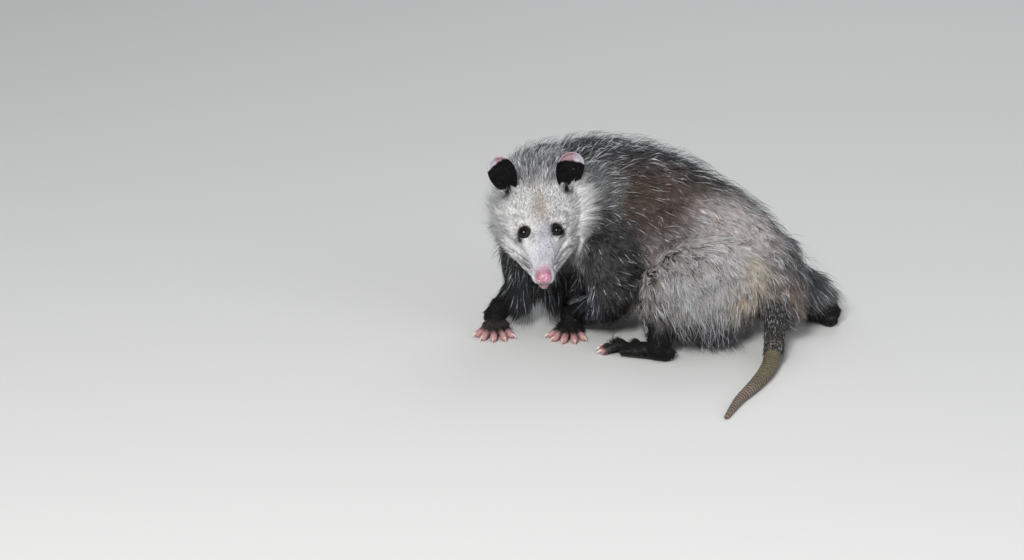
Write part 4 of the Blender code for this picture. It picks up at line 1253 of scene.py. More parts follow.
class Atlas:
    """An unwrap of the furred pieces' own shapes, which gives every hair its place on a flat map."""

    faces: int = 12000
    angle: float = 66
    margin: float = 0.004

    def __init__(self, furred: list[bpy.types.Object]) -> None:
        """Unwraps a light copy of the furred pieces.

        Args:
            furred: The finished skin and feet.
        """
        work = bmesh.new()
        for piece in furred:
            work.from_mesh(piece.data)
        mesh = bpy.data.meshes.new("atlas")
        work.to_mesh(mesh)
        work.free()
        copy = linked("atlas", mesh)
        light = copy.modifiers.new("light", "DECIMATE")
        light.ratio = self.faces / (2 * len(mesh.polygons))
        settled(copy)
        bpy.ops.object.select_all(action="DESELECT")
        copy.select_set(True)
        bpy.context.view_layer.objects.active = copy
        bpy.ops.object.mode_set(mode="EDIT")
        bpy.ops.mesh.select_all(action="SELECT")
        bpy.ops.mesh.quads_convert_to_tris()
        bpy.ops.uv.smart_project(angle_limit=math.radians(self.angle), island_margin=self.margin)
        bpy.ops.object.mode_set(mode="OBJECT")
        mesh = copy.data
        count = len(mesh.polygons)
        corners = np.empty(3 * count, np.int32)
        mesh.loops.foreach_get("vertex_index", corners)
        flat = np.empty(6 * count, np.float32)
        mesh.uv_layers[0].data.foreach_get("uv", flat)
        self.corners = corners.reshape(-1, 3)
        self.points = places(copy)
        self.flat = flat.reshape(-1, 3, 2)
        self.tree = BVHTree.FromPolygons(self.points.tolist(), self.corners.tolist())
        bpy.data.objects.remove(copy)

    def spots(self, points: np.ndarray) -> np.ndarray:
        """Where places near the skin lie on the flat map.

        Args:
            points: The places.

        Returns:
            Two numbers from nothing to one for each place.
        """
        hits = [self.tree.find_nearest(Vector(p)) for p in points.tolist()]
        face = np.array([hit[2] for hit in hits])
        near = np.array([hit[0] for hit in hits])
        a, b, c = (self.points[self.corners[face, i]] for i in range(3))
        whole = np.cross(b - a, c - a)
        area = np.maximum((whole * whole).sum(1), 1e-18)
        v = (np.cross(near - a, c - a) * whole).sum(1) / area
        w = (np.cross(b - a, near - a) * whole).sum(1) / area
        shares = np.clip(np.stack([1 - v - w, v, w], -1), 0, 1)
        return (self.flat[face] * shares[..., None]).sum(1)


@dataclass(frozen=True)
class Layer:
    """One depth of the coat, against what the regions say of it.

    The knots are the steps along a hair where it has a ring of points.
    """

    name: str
    share: float
    length: float
    width: float
    lift: float
    clump: float
    silver: float
    knots: tuple[int, ...] = (1, 4)


@dataclass
class Roots:
    """Where hairs stand on the skin."""

    points: np.ndarray
    normals: np.ndarray

    @property
    def drawn(self) -> np.ndarray:
        """The places as the stations are drawn."""
        return self.points - np.array(SHIFT)

    @property
    def growth(self) -> Growth:
        """How hair grows at these places."""
        return Growth(self.drawn, to_head(self.points))

    def kept(self, which: np.ndarray) -> Roots:
        """Only some of them."""
        return Roots(self.points[which], self.normals[which])

    def joined(self, other: Roots) -> Roots:
        """These and others."""
        both = np.concatenate([self.points, other.points]), np.concatenate([self.normals, other.normals])
        return Roots(*both)


@dataclass
class Hairs:
    """Hairs as lines of points from root to tip, with what each carries."""

    lines: np.ndarray
    normals: np.ndarray
    width: np.ndarray
    roots: np.ndarray
    shade: np.ndarray
    pale: np.ndarray
    spots: np.ndarray
    knots: tuple[int, ...]

    def part(self, which: np.ndarray, knots: tuple[int, ...]) -> Hairs:
        """Only some of them, with rings at these steps."""
        chosen = (self.lines, self.normals, self.width, self.roots, self.shade, self.pale, self.spots)
        return Hairs(*(values[which] for values in chosen), knots)

    @property
    def triangles(self) -> int:
        """Triangles in one hair."""
        return 6 * len(self.knots)

    def mesh(self, name: str, thickness: float = 0.5, patch: float = 0.003) -> bpy.types.Object:
        """The hairs as closed three-sided strands, pointed at both ends.

        Args:
            name: The object's name.
            thickness: How thick a hair is against its width.
            patch: The size of a hair on the flat map.

        Returns:
            The object, with its attributes and its flat map.
        """
        knots = np.array(self.knots)
        steps = self.lines.shape[1] - 1
        count, rings = len(self.lines), len(knots)
        ahead = unit(np.gradient(self.lines, axis=1))[:, knots]
        across = unit(np.cross(np.broadcast_to(self.normals[:, None], ahead.shape), ahead))
        top = np.cross(ahead, across)
        t = knots / steps
        profile = np.sin(math.pi * (0.24 + 0.54 * t)) ** 0.8
        half = (self.width[:, None] * profile / 2)[..., None]
        middle = self.lines[:, knots]
        ring = [middle + across * half, middle + top * half * 2 * thickness, middle - across * half]
        ring = np.stack(ring, 2).reshape(count, -1, 3)
        points = np.concatenate([ring, self.lines[:, -1:], self.lines[:, :1]], 1)
        size = points.shape[1]
        base = (np.arange(count) * size)[:, None, None]
        quads = (tube_faces(rings, 3)[None] + base).reshape(-1, 4)
        last, tip = 3 * (rings - 1), size - 2
        ends = [(last + i, last + (i + 1) % 3, tip) for i in range(3)]
        ends += [((i + 1) % 3, i, tip + 1) for i in range(3)]
        triangles = (np.array(ends)[None] + base).reshape(-1, 3)
        obj = faced_mesh(name, points.reshape(-1, 3), quads, triangles)
        along = np.concatenate([np.repeat(t, 3), [1.0, 0.0]])
        carry(obj, "place", np.repeat(self.roots, size, 0))
        carry(obj, "along", np.tile(along, count))
        carry(obj, "shade", np.repeat(self.shade, size))
        carry(obj, "pale", np.repeat(self.pale, size))
        beside = np.concatenate([np.tile([0.0, 0.5, 1.0], rings), [0.5, 0.5]])
        offset = (np.stack([beside, along], -1) - 0.5) * patch
        flat = (self.spots[:, None] + offset[None]).reshape(-1, 2)
        layer = obj.data.uv_layers.new(name="OFBake")
        corner = np.empty(len(obj.data.loops), np.int32)
        obj.data.loops.foreach_get("vertex_index", corner)
        layer.data.foreach_set("uv", flat[corner].astype(np.float32).ravel())
        return obj


@dataclass
class Coat:
    """Hair over skin and feet, in layers, as solid tapered strands."""

    furred: list[bpy.types.Object]
    flesh: Flesh
    atlas: Atlas
    material: bpy.types.Material
    layers: tuple[Layer, ...] = (
        Layer("under", 1.0, 0.62, 1.5, 2, 0.8, 0.0, (2,)),
        Layer("coat", 1.5, 1.00, 1.00, 0, 1.0, 0.8),
        Layer("guard", 0.40, 1.34, 0.55, 8, 0.5, 1.2),
    )
    steps: int = 6
    sink: float = 0.05
    bend: float = 1.05
    sag: float = 0.30
    sway: float = 0.50
    part_angle: float = 26
    clump_size: float = 0.20
    clump_power: float = 1.3
    size_range: tuple[float, float] = (0.60, 1.15)
    piece_limit: int = 190000
    floor: float = 0.0007
    quick_share: float = 0.35
    short_slots: tuple[Slot, ...] = (Slot.FACE, Slot.LEG)
    short_knots: tuple[int, ...] = (2,)
    counts: dict[str, int] = field(default_factory=dict)

    def scattered(self, layer: Layer, piece: bpy.types.Object, rng: np.random.Generator) -> Roots:
        """Roots of one layer on one piece, as close as the regions ask for.

        Args:
            layer: The layer.
            piece: The skin or a foot, which carries how bare it is.
            rng: The seeded source of chance.

        Returns:
            The roots.
        """
        mesh = piece.data
        mesh.calc_loop_triangles()
        corners = np.empty(3 * len(mesh.loop_triangles), np.int32)
        mesh.loop_triangles.foreach_get("vertices", corners)
        corners = corners.reshape(-1, 3)
        points = places(piece)
        normals = np.empty(3 * len(points), np.float32)
        mesh.vertices.foreach_get("normal", normals)
        normals = normals.reshape(-1, 3).astype(float)
        bare = np.empty(len(points), np.float32)
        mesh.attributes["bare"].data.foreach_get("value", bare)
        a, b, c = (points[corners[:, i]] for i in range(3))
        area = 0.5 * np.linalg.norm(np.cross(b - a, c - a), axis=1)
        middle = Roots((a + b + c) / 3, np.zeros_like(a))
        spacing = middle.growth.blended("spacing")
        wanted = area * (1 - bare[corners].max(1)) * layer.share / spacing**2
        count = int(wanted.sum())
        face = np.searchsorted(np.cumsum(wanted) / wanted.sum(), rng.random(count))
        face = np.minimum(face, len(corners) - 1)
        low, high = np.sort(rng.random((2, count)), axis=0)
        shares = np.stack([low, high - low, 1 - high], -1)[..., None]
        spot = (points[corners[face]] * shares).sum(1)
        facing = unit((normals[corners[face]] * shares).sum(1))
        return Roots(spot, facing)

    def flow(self, flow: Flow, roots: Roots) -> np.ndarray:
        """The way hair runs along one line, before it is laid on the skin.

        Args:
            flow: The line.
            roots: Where hairs stand.

        Returns:
            A direction for each root.
        """
        if flow is Flow.HEAD:
            local = to_head(roots.points)
            out = unit(np.stack([local[:, 0], np.zeros(len(local)), local[:, 2] - 0.010], -1))
            spread = roots.growth.blended("spread")[:, None]
            return (np.array([0, 1, 0]) + out * spread) @ np.array(HEAD)[:3, :3].T
        line = self.flesh.flow_line(flow)
        middles, ahead = (line[1:] + line[:-1]) / 2, unit(line[1:] - line[:-1])
        away = ((roots.drawn[:, None] - middles[None]) ** 2).sum(-1)
        weight = np.exp(-(away - away.min(1, keepdims=True)) / 0.035**2)
        return unit((weight[..., None] * ahead[None]).sum(1))

    def lies(self, roots: Roots, rng: np.random.Generator) -> np.ndarray:
        """The way each hair lies along the skin.

        Args:
            roots: Where hairs stand.
            rng: The seeded source of chance.

        Returns:
            A direction along the skin for each root.
        """
        growth = roots.growth
        found = np.zeros_like(roots.points)
        flows = {flow: self.flow(flow, roots) for flow in Flow}
        for region in REGIONS:
            if region.flow is not None:
                weight = region.weight(growth.drawn, growth.local)[:, None]
                found += weight * (flows[region.flow] - found)
        found[:, 2] -= growth.blended("droop")
        normals = roots.normals
        found = unit(found - normals * (found * normals).sum(1, keepdims=True))
        across = np.cross(normals, found)
        wave = np.sin(roots.drawn @ np.array([210.0, -140.0, 160.0])) * 0.5
        wave += np.sin(roots.drawn @ np.array([-90.0, 260.0, 120.0]) + 1.3) * 0.5
        turn = np.radians(self.part_angle) * (wave + rng.normal(0, 0.6, len(wave)))
        turn *= growth.blended("stray")
        return unit(found * np.cos(turn)[:, None] + across * np.sin(turn)[:, None])

    def lines(self, roots: Roots, layer: Layer, rng: np.random.Generator) -> tuple[np.ndarray, ...]:
        """The hairs of a layer as lines, gathered into locks.

        Args:
            roots: Where they stand.
            layer: The layer.
            rng: The seeded source of chance.

        Returns:
            The points of each line, how wide each hair is and the chance value of its lock.
        """
        growth = roots.growth
        count = len(roots.points)
        length = growth.blended("length") * layer.length * rng.uniform(*self.size_range, count)
        width = growth.blended("width") * layer.width * rng.uniform(0.8, 1.2, count)
        lift = np.radians(growth.blended("lift") + layer.lift + rng.normal(0, 4, count))
        lie = self.lies(roots, rng)
        across = np.cross(roots.normals, lie)
        sway = (rng.normal(0, self.sway, count) * growth.blended("stray"))[:, None]
        here = roots.points - roots.normals * (self.sink * length)[:, None]
        found = [here]
        long = eased(length, 0.012, 0.040)[:, None]
        for step in range(self.steps):
            t = (step + 0.5) / self.steps
            climb = (lift * (1 - self.bend * t))[:, None]
            ahead = lie * np.cos(climb) + roots.normals * np.sin(climb) + across * sway * t
            ahead[:, 2] -= self.sag * t * long[:, 0]
            here = here + unit(ahead) * (length / self.steps)[:, None]
            found.append(here)
        lines = np.stack(found, 1)
        clump = growth.blended("clump") * layer.clump
        spacing = growth.blended("spacing") / math.sqrt(layer.share)
        chance = (spacing / (self.clump_size * growth.blended("length"))) ** 2
        lines, lock = self.gathered(lines, np.clip(clump, 0, 0.9), chance, rng)
        lines, _ = self.gathered(lines, np.clip(0.5 * clump, 0, 0.9), chance / 6, rng)
        lines[:, 1:, 2] = np.maximum(lines[:, 1:, 2], self.floor + 0.25 * width[:, None])
        return lines, width, lock

    def gathered(
        self, lines: np.ndarray, clump: np.ndarray, chance: np.ndarray, rng: np.random.Generator
    ) -> tuple[np.ndarray, np.ndarray]:
        """Draws the tips of neighbouring hairs together.

        Args:
            lines: The hairs.
            clump: How far each tip is drawn to the middle of its lock.
            chance: How likely each hair is to be the middle of a lock.
            rng: The seeded source of chance.

        Returns:
            The moved hairs, and a value from nothing to one that the hairs of a lock share.
        """
        middles = np.flatnonzero(rng.random(len(lines)) < chance)
        tree = KDTree(len(middles))
        for order, index in enumerate(middles.tolist()):
            tree.insert(Vector(lines[index, 0]), order)
        tree.balance()
        nearest = np.array([tree.find(Vector(p))[1] for p in lines[:, 0].tolist()])
        pull = lines[middles[nearest]] - lines
        t = (np.arange(self.steps + 1) / self.steps) ** self.clump_power
        return lines + pull * (clump[:, None] * t)[..., None], rng.random(len(middles))[nearest]

    def grow(self) -> None:
        """Grows every layer and divides it into pieces by slot and by size."""
        rng = np.random.default_rng(SEED)
        for layer in self.layers:
            roots = self.scattered(layer, self.furred[0], rng)
            for piece in self.furred[1:]:
                roots = roots.joined(self.scattered(layer, piece, rng))
            lines, width, lock = self.lines(roots, layer, rng)
            growth = roots.growth
            silver = growth.blended("silver") * layer.silver * (0.4 + 1.8 * lock**2)
            hairs = Hairs(
                lines, roots.normals, width, growth.drawn, 0.5 * lock + 0.5 * rng.random(len(lines)),
                (rng.random(len(lines)) < silver).astype(float), self.atlas.spots(roots.points), layer.knots,
            )
            self.divide(layer, hairs, growth.slots())

    def divide(self, layer: Layer, hairs: Hairs, slots: np.ndarray) -> None:
        """Makes the pieces of one layer.

        Args:
            layer: The layer.
            hairs: Its hairs.
            slots: The slot of each hair.
        """
        for order, slot in enumerate(Slot):
            chosen = np.flatnonzero(slots == order)
            if not len(chosen):
                continue
            chosen = chosen[np.argsort(hairs.roots[chosen, 0])]
            group = hairs.part(chosen, self.short_knots if slot in self.short_slots else layer.knots)
            pieces = math.ceil(len(chosen) * group.triangles / self.piece_limit)
            for number, share in enumerate(np.array_split(np.arange(len(chosen)), pieces)):
                piece = group.part(share, group.knots).mesh(f"{slot.value}_{layer.name}_{number + 1}")
                dressed(piece, self.material, slot)
                self.counts[piece.name] = len(share) * group.triangles
        LOG.info("coat so far: %d triangles", sum(self.counts.values()))


# Finishes.


@dataclass(frozen=True)
class Pelt:
    """The colours of skin and coat, from the regions."""

    silver: Vec3 = (0.60, 0.62, 0.66)
    blotch: float = 0.40
    ragged: float = 0.016

    def colour(self, paint: Paint) -> Wire:
        """The colour at a place on the skin or along a hair.

        Args:
            paint: The material's nodes.

        Returns:
            The colour.
        """
        drawn = paint.attribute("place", "Vector")
        stray = paint.noise(drawn, 55, 2, "Color").less((0.5, 0.5, 0.5)).scaled(self.ragged)
        drawn = drawn.shifted(stray)
        tip = PLAN.drawn_head().translation
        turn = PLAN.drawn_head().to_3x3()
        rel = drawn.less(tuple(tip))
        local = paint.together(*(rel.dot(tuple(turn.col[i])) for i in range(3)))
        found = {}
        for region in REGIONS:
            colours = (("root", region.root), ("body", region.body), ("tip", region.tip))
            if not any(colour for _, colour in colours):
                continue
            mask = 1.0 if region.radii == EVERYWHERE else region.mask(drawn, local)
            for name, colour in colours:
                if colour is not None:
                    found[name] = colour if name not in found else paint.mix(mask, found[name], colour)
        along = paint.attribute("along")
        low = paint.mix(along.eased(0.02, 0.48), found["root"], found["body"])
        colour = paint.mix(along.eased(0.45, 0.95), low, found["tip"])
        white = paint.attribute("pale") * along.eased(0.15, 0.6)
        colour = paint.mix(white, colour, self.silver)
        shade = paint.attribute("shade")
        blotch = paint.noise(drawn, 70, 3)
        return paint.tinted(colour, 0.46 + shade * 0.70 + blotch * self.blotch)


@dataclass(frozen=True)
class CoatFinish(Pelt):
    """Hair: dark at the root and pale at the tip, with white guard hairs."""

    roughness: float = 0.62

    def material(self) -> bpy.types.Material:
        """The coat's material."""
        paint = Paint("coat_hair")
        rough = self.roughness - 0.12 * paint.attribute("along")
        return paint.surface(
            Base_Color=self.colour(paint), Roughness=rough, Specular_IOR_Level=0.2,
        )


@dataclass(frozen=True)
class SkinFinish(Pelt):
    """Skin under the coat: the coat's own markings over fine short nap."""

    nap: float = 1900
    relief: float = 0.0005
    lid: Vec3 = (0.010, 0.008, 0.009)
    lid_from: float = 1.16
    lid_to: float = 1.42

    def material(self) -> bpy.types.Material:
        """The skin's material."""
        paint = Paint("skin")
        place = paint.attribute("place", "Vector")
        nap = paint.noise(place.stretched((1.0, 0.45, 1.0)), self.nap, 4)
        normal = paint.relief(nap, self.relief, 0.7)
        open_skin = paint.attribute("lid").eased(self.lid_from, self.lid_to)
        return paint.surface(
            Base_Color=paint.mix(open_skin, self.lid, self.colour(paint)), Roughness=0.62 + 0.2 * nap,
            Normal=normal, Specular_IOR_Level=0.3,
        )


@dataclass(frozen=True)
class EyeFinish:
    """A wet black eye with a trace of brown in its iris."""

    black: Vec3 = (0.0020, 0.0018, 0.0018)
    brown: Vec3 = (0.0070, 0.0040, 0.0028)

    def material(self) -> bpy.types.Material:
        """The eyes' material."""
        paint = Paint("eye_wet")
        front = paint.attribute("front")
        grain = paint.noise(paint.attribute("place", "Vector"), 900, 2)
        iris = (front.eased(0.30, 0.45) - front.eased(0.72, 0.86)) * (0.5 + grain)
        return paint.surface(
            Base_Color=paint.mix(iris, self.black, self.brown),
            Roughness=0.04 + 0.02 * grain, Specular_IOR_Level=0.26,
        )


@dataclass(frozen=True)
class NoseFinish:
    """Moist pink skin in fine pebbles, darker in the nostrils and the groove: darker skin and painted shade."""

    pink: Vec3 = (0.50, 0.165, 0.245)
    pale: Vec3 = (0.64, 0.345, 0.43)
    hollow_skin_and_shade: Vec3 = (0.10, 0.018, 0.026)

    def material(self) -> bpy.types.Material:
        """The nose's material."""
        paint = Paint("nose_wet")
        place = paint.attribute("place", "Vector")
        hollow = paint.attribute("hollow")
        pebbles = paint.cells(place, 950)
        blush = paint.noise(place, 160, 2).eased(0.3, 0.7)
        colour = paint.mix(blush, self.pink, self.pale)
        # Painted shade, with the darker skin, inside the nostrils and in the groove below the pad.
        colour = paint.mix(hollow.eased(0.25, 0.85), colour, self.hollow_skin_and_shade)
        colour = paint.tinted(colour, 1.05 - 0.35 * pebbles)
        return paint.surface(
            Base_Color=colour, Roughness=0.30 + 0.22 * pebbles,
            Normal=paint.relief(pebbles * pebbles, 0.00025, 0.6), Coat_Weight=0.35, Coat_Roughness=0.18,
            Subsurface_Weight=0.15, Subsurface_Radius=(0.004, 0.0015, 0.001),
        )


@dataclass(frozen=True)
class EarFinish:
    """Thin bare black skin with fine creases, pink to lavender-white along the top and the outer edge."""

    black: Vec3 = (0.0030, 0.0028, 0.0034)
    grey: Vec3 = (0.013, 0.012, 0.015)
    pink: Vec3 = (0.42, 0.265, 0.295)
    white: Vec3 = (0.52, 0.49, 0.555)

    def material(self) -> bpy.types.Material:
        """The ears' material."""
        paint = Paint("ear_skin")
        place = paint.attribute("place", "Vector")
        fine = paint.noise(place, 260, 4)
        ragged = paint.noise(place, 150, 3) - 0.5
        dark = paint.mix(fine.eased(0.45, 0.8), self.black, self.grey)
        mask = (paint.attribute("pale") + 0.22 * ragged).eased(-0.05, 0.09)
        outer = (paint.attribute("outer") + 0.8 * ragged).eased(0.15, 0.65)
        pale = paint.tinted(paint.mix(outer, self.pink, self.white), 0.75 + 0.5 * fine)
        creases = paint.noise(place.stretched((1.0, 1.0, 0.35)), 520, 3)
        return paint.surface(
            Base_Color=paint.mix(mask, dark, pale), Roughness=0.62 + 0.22 * fine,
            Normal=paint.relief(creases, 0.0003, 0.5), Specular_IOR_Level=0.12,
        )


@dataclass(frozen=True)
class PawFinish:
    """Bare skin of the feet: black above, pink at the toes, with fine folds."""

    dark: Vec3 = (0.008, 0.006, 0.006)
    brown: Vec3 = (0.035, 0.020, 0.019)
    pink: Vec3 = (0.42, 0.19, 0.19)
    blush: Vec3 = (0.56, 0.33, 0.33)
    pink_from: float = 0.46
    pink_full: float = 0.72

    def material(self, name: str) -> bpy.types.Material:
        """The material of a pair of feet."""
        paint = Paint(name)
        place = paint.attribute("place", "Vector")
        toe = paint.attribute("toe") + 0.25 * (paint.noise(place, 220, 3) - 0.5)
        fine = paint.noise(place, 700, 3)
        folds = (paint.attribute("run") * 2600).sine() * 0.5 + 0.5
        dark = paint.mix(fine.eased(0.4, 0.8), self.dark, self.brown)
        flesh = paint.mix(paint.noise(place, 400, 2).eased(0.35, 0.65), self.pink, self.blush)
        colour = paint.mix(toe.eased(self.pink_from, self.pink_full), dark, flesh)
        colour = paint.tinted(colour, 0.80 + 0.25 * folds * fine + 0.10 * fine)
        grain = paint.cells(place, 1300)
        return paint.surface(
            Base_Color=colour, Roughness=0.44 + 0.25 * fine,
            Normal=paint.relief(folds * 0.6 + grain * 0.4, 0.00035, 0.6),
            Subsurface_Weight=0.08, Subsurface_Radius=(0.003, 0.0012, 0.0008),
        )


@dataclass(frozen=True)
class ClawFinish:
    """Pale horn, warmer at the root and streaked lengthwise."""

    horn: Vec3 = (0.66, 0.55, 0.46)
    root: Vec3 = (0.46, 0.25, 0.20)

    def material(self) -> bpy.types.Material:
        """The claws' material."""
        paint = Paint("claw_horn")
        run = paint.attribute("run")
        streak = paint.noise(paint.attribute("place", "Vector"), 1500, 2)
        colour = paint.mix(run.eased(0.0, 0.35), self.root, self.horn)
        return paint.surface(Base_Color=paint.tinted(colour, 0.8 + 0.4 * streak), Roughness=0.28 + 0.15 * streak)


@dataclass(frozen=True)
class TailFinish:
    """Rings of small scales: black-grey at the root, then yellow-brown, pinkish at the tip."""

    root: Vec3 = (0.030, 0.028, 0.026)
    middle: Vec3 = (0.21, 0.178, 0.095)
    end: Vec3 = (0.31, 0.225, 0.185)
    seam: Vec3 = (0.028, 0.020, 0.014)
    ring: float = 0.0024
    around: int = 15
    bands: float = 1250

    def material(self) -> bpy.types.Material:
        """The tail's material."""
        paint = Paint("tail_scales")
        place = paint.attribute("place", "Vector")
        run, turn, share = paint.attribute("run"), paint.attribute("turn"), paint.attribute("share")
        rings = run / self.ring
        row = rings.fraction()
        odd = (rings * 0.5).fraction().above(0.5) * 0.5
        scale = (turn * self.around + odd).fraction()
        edge = (row.least(1 - row) * 2).least(scale.least(1 - scale) * 2)
        dome = edge.eased(0.0, 0.55)
        stain = paint.noise(place, 90, 4)
        fine = paint.noise(place, 600, 3)
        colour = paint.mix((share + 0.12 * (stain - 0.5)).eased(0.20, 0.34), self.root, self.middle)
        colour = paint.mix((share + 0.2 * (stain - 0.5)).eased(0.62, 0.80), colour, self.end)
        bands = (run * self.bands + 9.0 * stain).sine().eased(0.10, 0.75)
        groove = 1 - edge.eased(0.0, 0.30)
        colour = paint.mix(groove * 0.75, colour, self.seam)
        colour = paint.mix(bands * (0.55 + 0.7 * fine), colour, self.seam)
        return paint.surface(
            Base_Color=paint.tinted(colour, 0.65 + 0.7 * stain * fine + 0.35 * fine),
            Roughness=0.48 + 0.25 * fine, Normal=paint.relief(dome, 0.0004, 0.8),
        )


@dataclass(frozen=True)
class WhiskerFinish:
    """Stiff dark hairs, paler at the tip."""

    dark: Vec3 = (0.035, 0.030, 0.030)
    pale: Vec3 = (0.42, 0.40, 0.40)

    def material(self) -> bpy.types.Material:
        """The whiskers' material."""
        paint = Paint("whisker_hair")
        along = paint.attribute("along")
        return paint.surface(
            Base_Color=paint.mix(along.eased(0.3, 1.0), self.dark, self.pale), Roughness=0.35 + 0.1 * along
        )


@dataclass(frozen=True)
class FloorFinish:
    """A plain pale floor with the faintest grain."""

    colour: Vec3 = (0.72, 0.72, 0.705)

    def material(self) -> bpy.types.Material:
        """The floor's material."""
        paint = Paint("floor_plain")
        place = paint.node("ShaderNodeTexCoord", {}, {}, "Object")
        grain = paint.noise(place, 400, 2)
        colour = paint.mix(grain, self.colour, tuple(0.97 * part for part in self.colour))
        return paint.surface(Base_Color=colour, Roughness=0.75 + 0.1 * grain)


# Pieces of the head.


@dataclass
class Eye:
    """The ball of an eye, with the slight swell of its cornea."""

    place: EyePlace
    material: bpy.types.Material
    swell: float = 0.0001
    segments: int = 48
    rings: int = 32

    def build(self) -> bpy.types.Object:
        """Makes the ball."""
        radius = self.place.radius()
        ball = oval(self.place.node + "_ball", (0, 0, 0), (radius, radius, radius), self.segments, self.rings)
        points = places(ball)
        front = points[:, 2] / radius
        points *= (1 + self.swell / radius * eased(front, 0.55, 1.0))[:, None]
        outer, rise, facing = self.place.axes()
        points = points @ np.array([outer, rise, facing]) + np.array(self.place.middle())
        moved(ball, points)
        turned_out(ball.data)
        carry(ball, "front", front)
        carry(ball, "place", points - np.array(SHIFT))
        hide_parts(self.place.node)
        return dressed(ball, self.material, Slot.EYE)


@dataclass
class Nose:
    """The bare pad of the nose, with its nostrils and the groove below."""

    material: bpy.types.Material
    pad: Vec3 = (0.0078, 0.0072, 0.0066)
    nostril: Vec3 = (0.0047, -0.0028, 0.0006)
    nostril_size: Vec3 = (0.0019, 0.0040, 0.0014)
    nostril_depth: float = 0.0024
    nostril_slant: float = 28
    wing: float = 0.0009
    groove_wide: float = 0.00055
    groove_depth: float = 0.0010

    def build(self) -> bpy.types.Object:
        """Makes the pad."""
        made = oval("nose_pad", PLAN.pad_middle, self.pad, 96, 72)
        points = places(made)
        rel = points - np.array(PLAN.pad_middle)
        hollow = np.zeros(len(points))
        slant = math.radians(self.nostril_slant)
        outward = unit(rel)
        for side in (1, -1):
            x = rel[:, 0] * side - self.nostril[0]
            z = rel[:, 2] - self.nostril[2]
            u = x * math.cos(slant) + z * math.sin(slant)
            v = z * math.cos(slant) - x * math.sin(slant)
            front = eased(-rel[:, 1], -0.001, 0.0012)
            v = v + 90 * u * u
            away = np.hypot(u / self.nostril_size[0], v / self.nostril_size[2])
            dent = (1 - eased(away, 0.35, 1.15)) * front
            swell = np.exp(-((away - 1.55) / 0.5) ** 2) * front
            points += outward * (swell * self.wing - dent * self.nostril_depth)[:, None]
            hollow = np.maximum(hollow, dent)
        below = eased(-rel[:, 2], -0.0010, 0.0015) * eased(-rel[:, 1], 0, 0.002)
        groove = np.exp(-((rel[:, 0] / self.groove_wide) ** 2)) * below
        points += outward * (-groove * self.groove_depth)[:, None]
        carry(made, "place", points)
        # The hollow mask tells the nose finish where to paint shade in the nostrils and the groove.
        carry(made, "hollow", np.maximum(hollow, 0.5 * groove))
        moved(made, from_head(points))
        turned_out(made.data)
        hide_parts("nose")
        return dressed(made, self.material, Slot.NOSE)


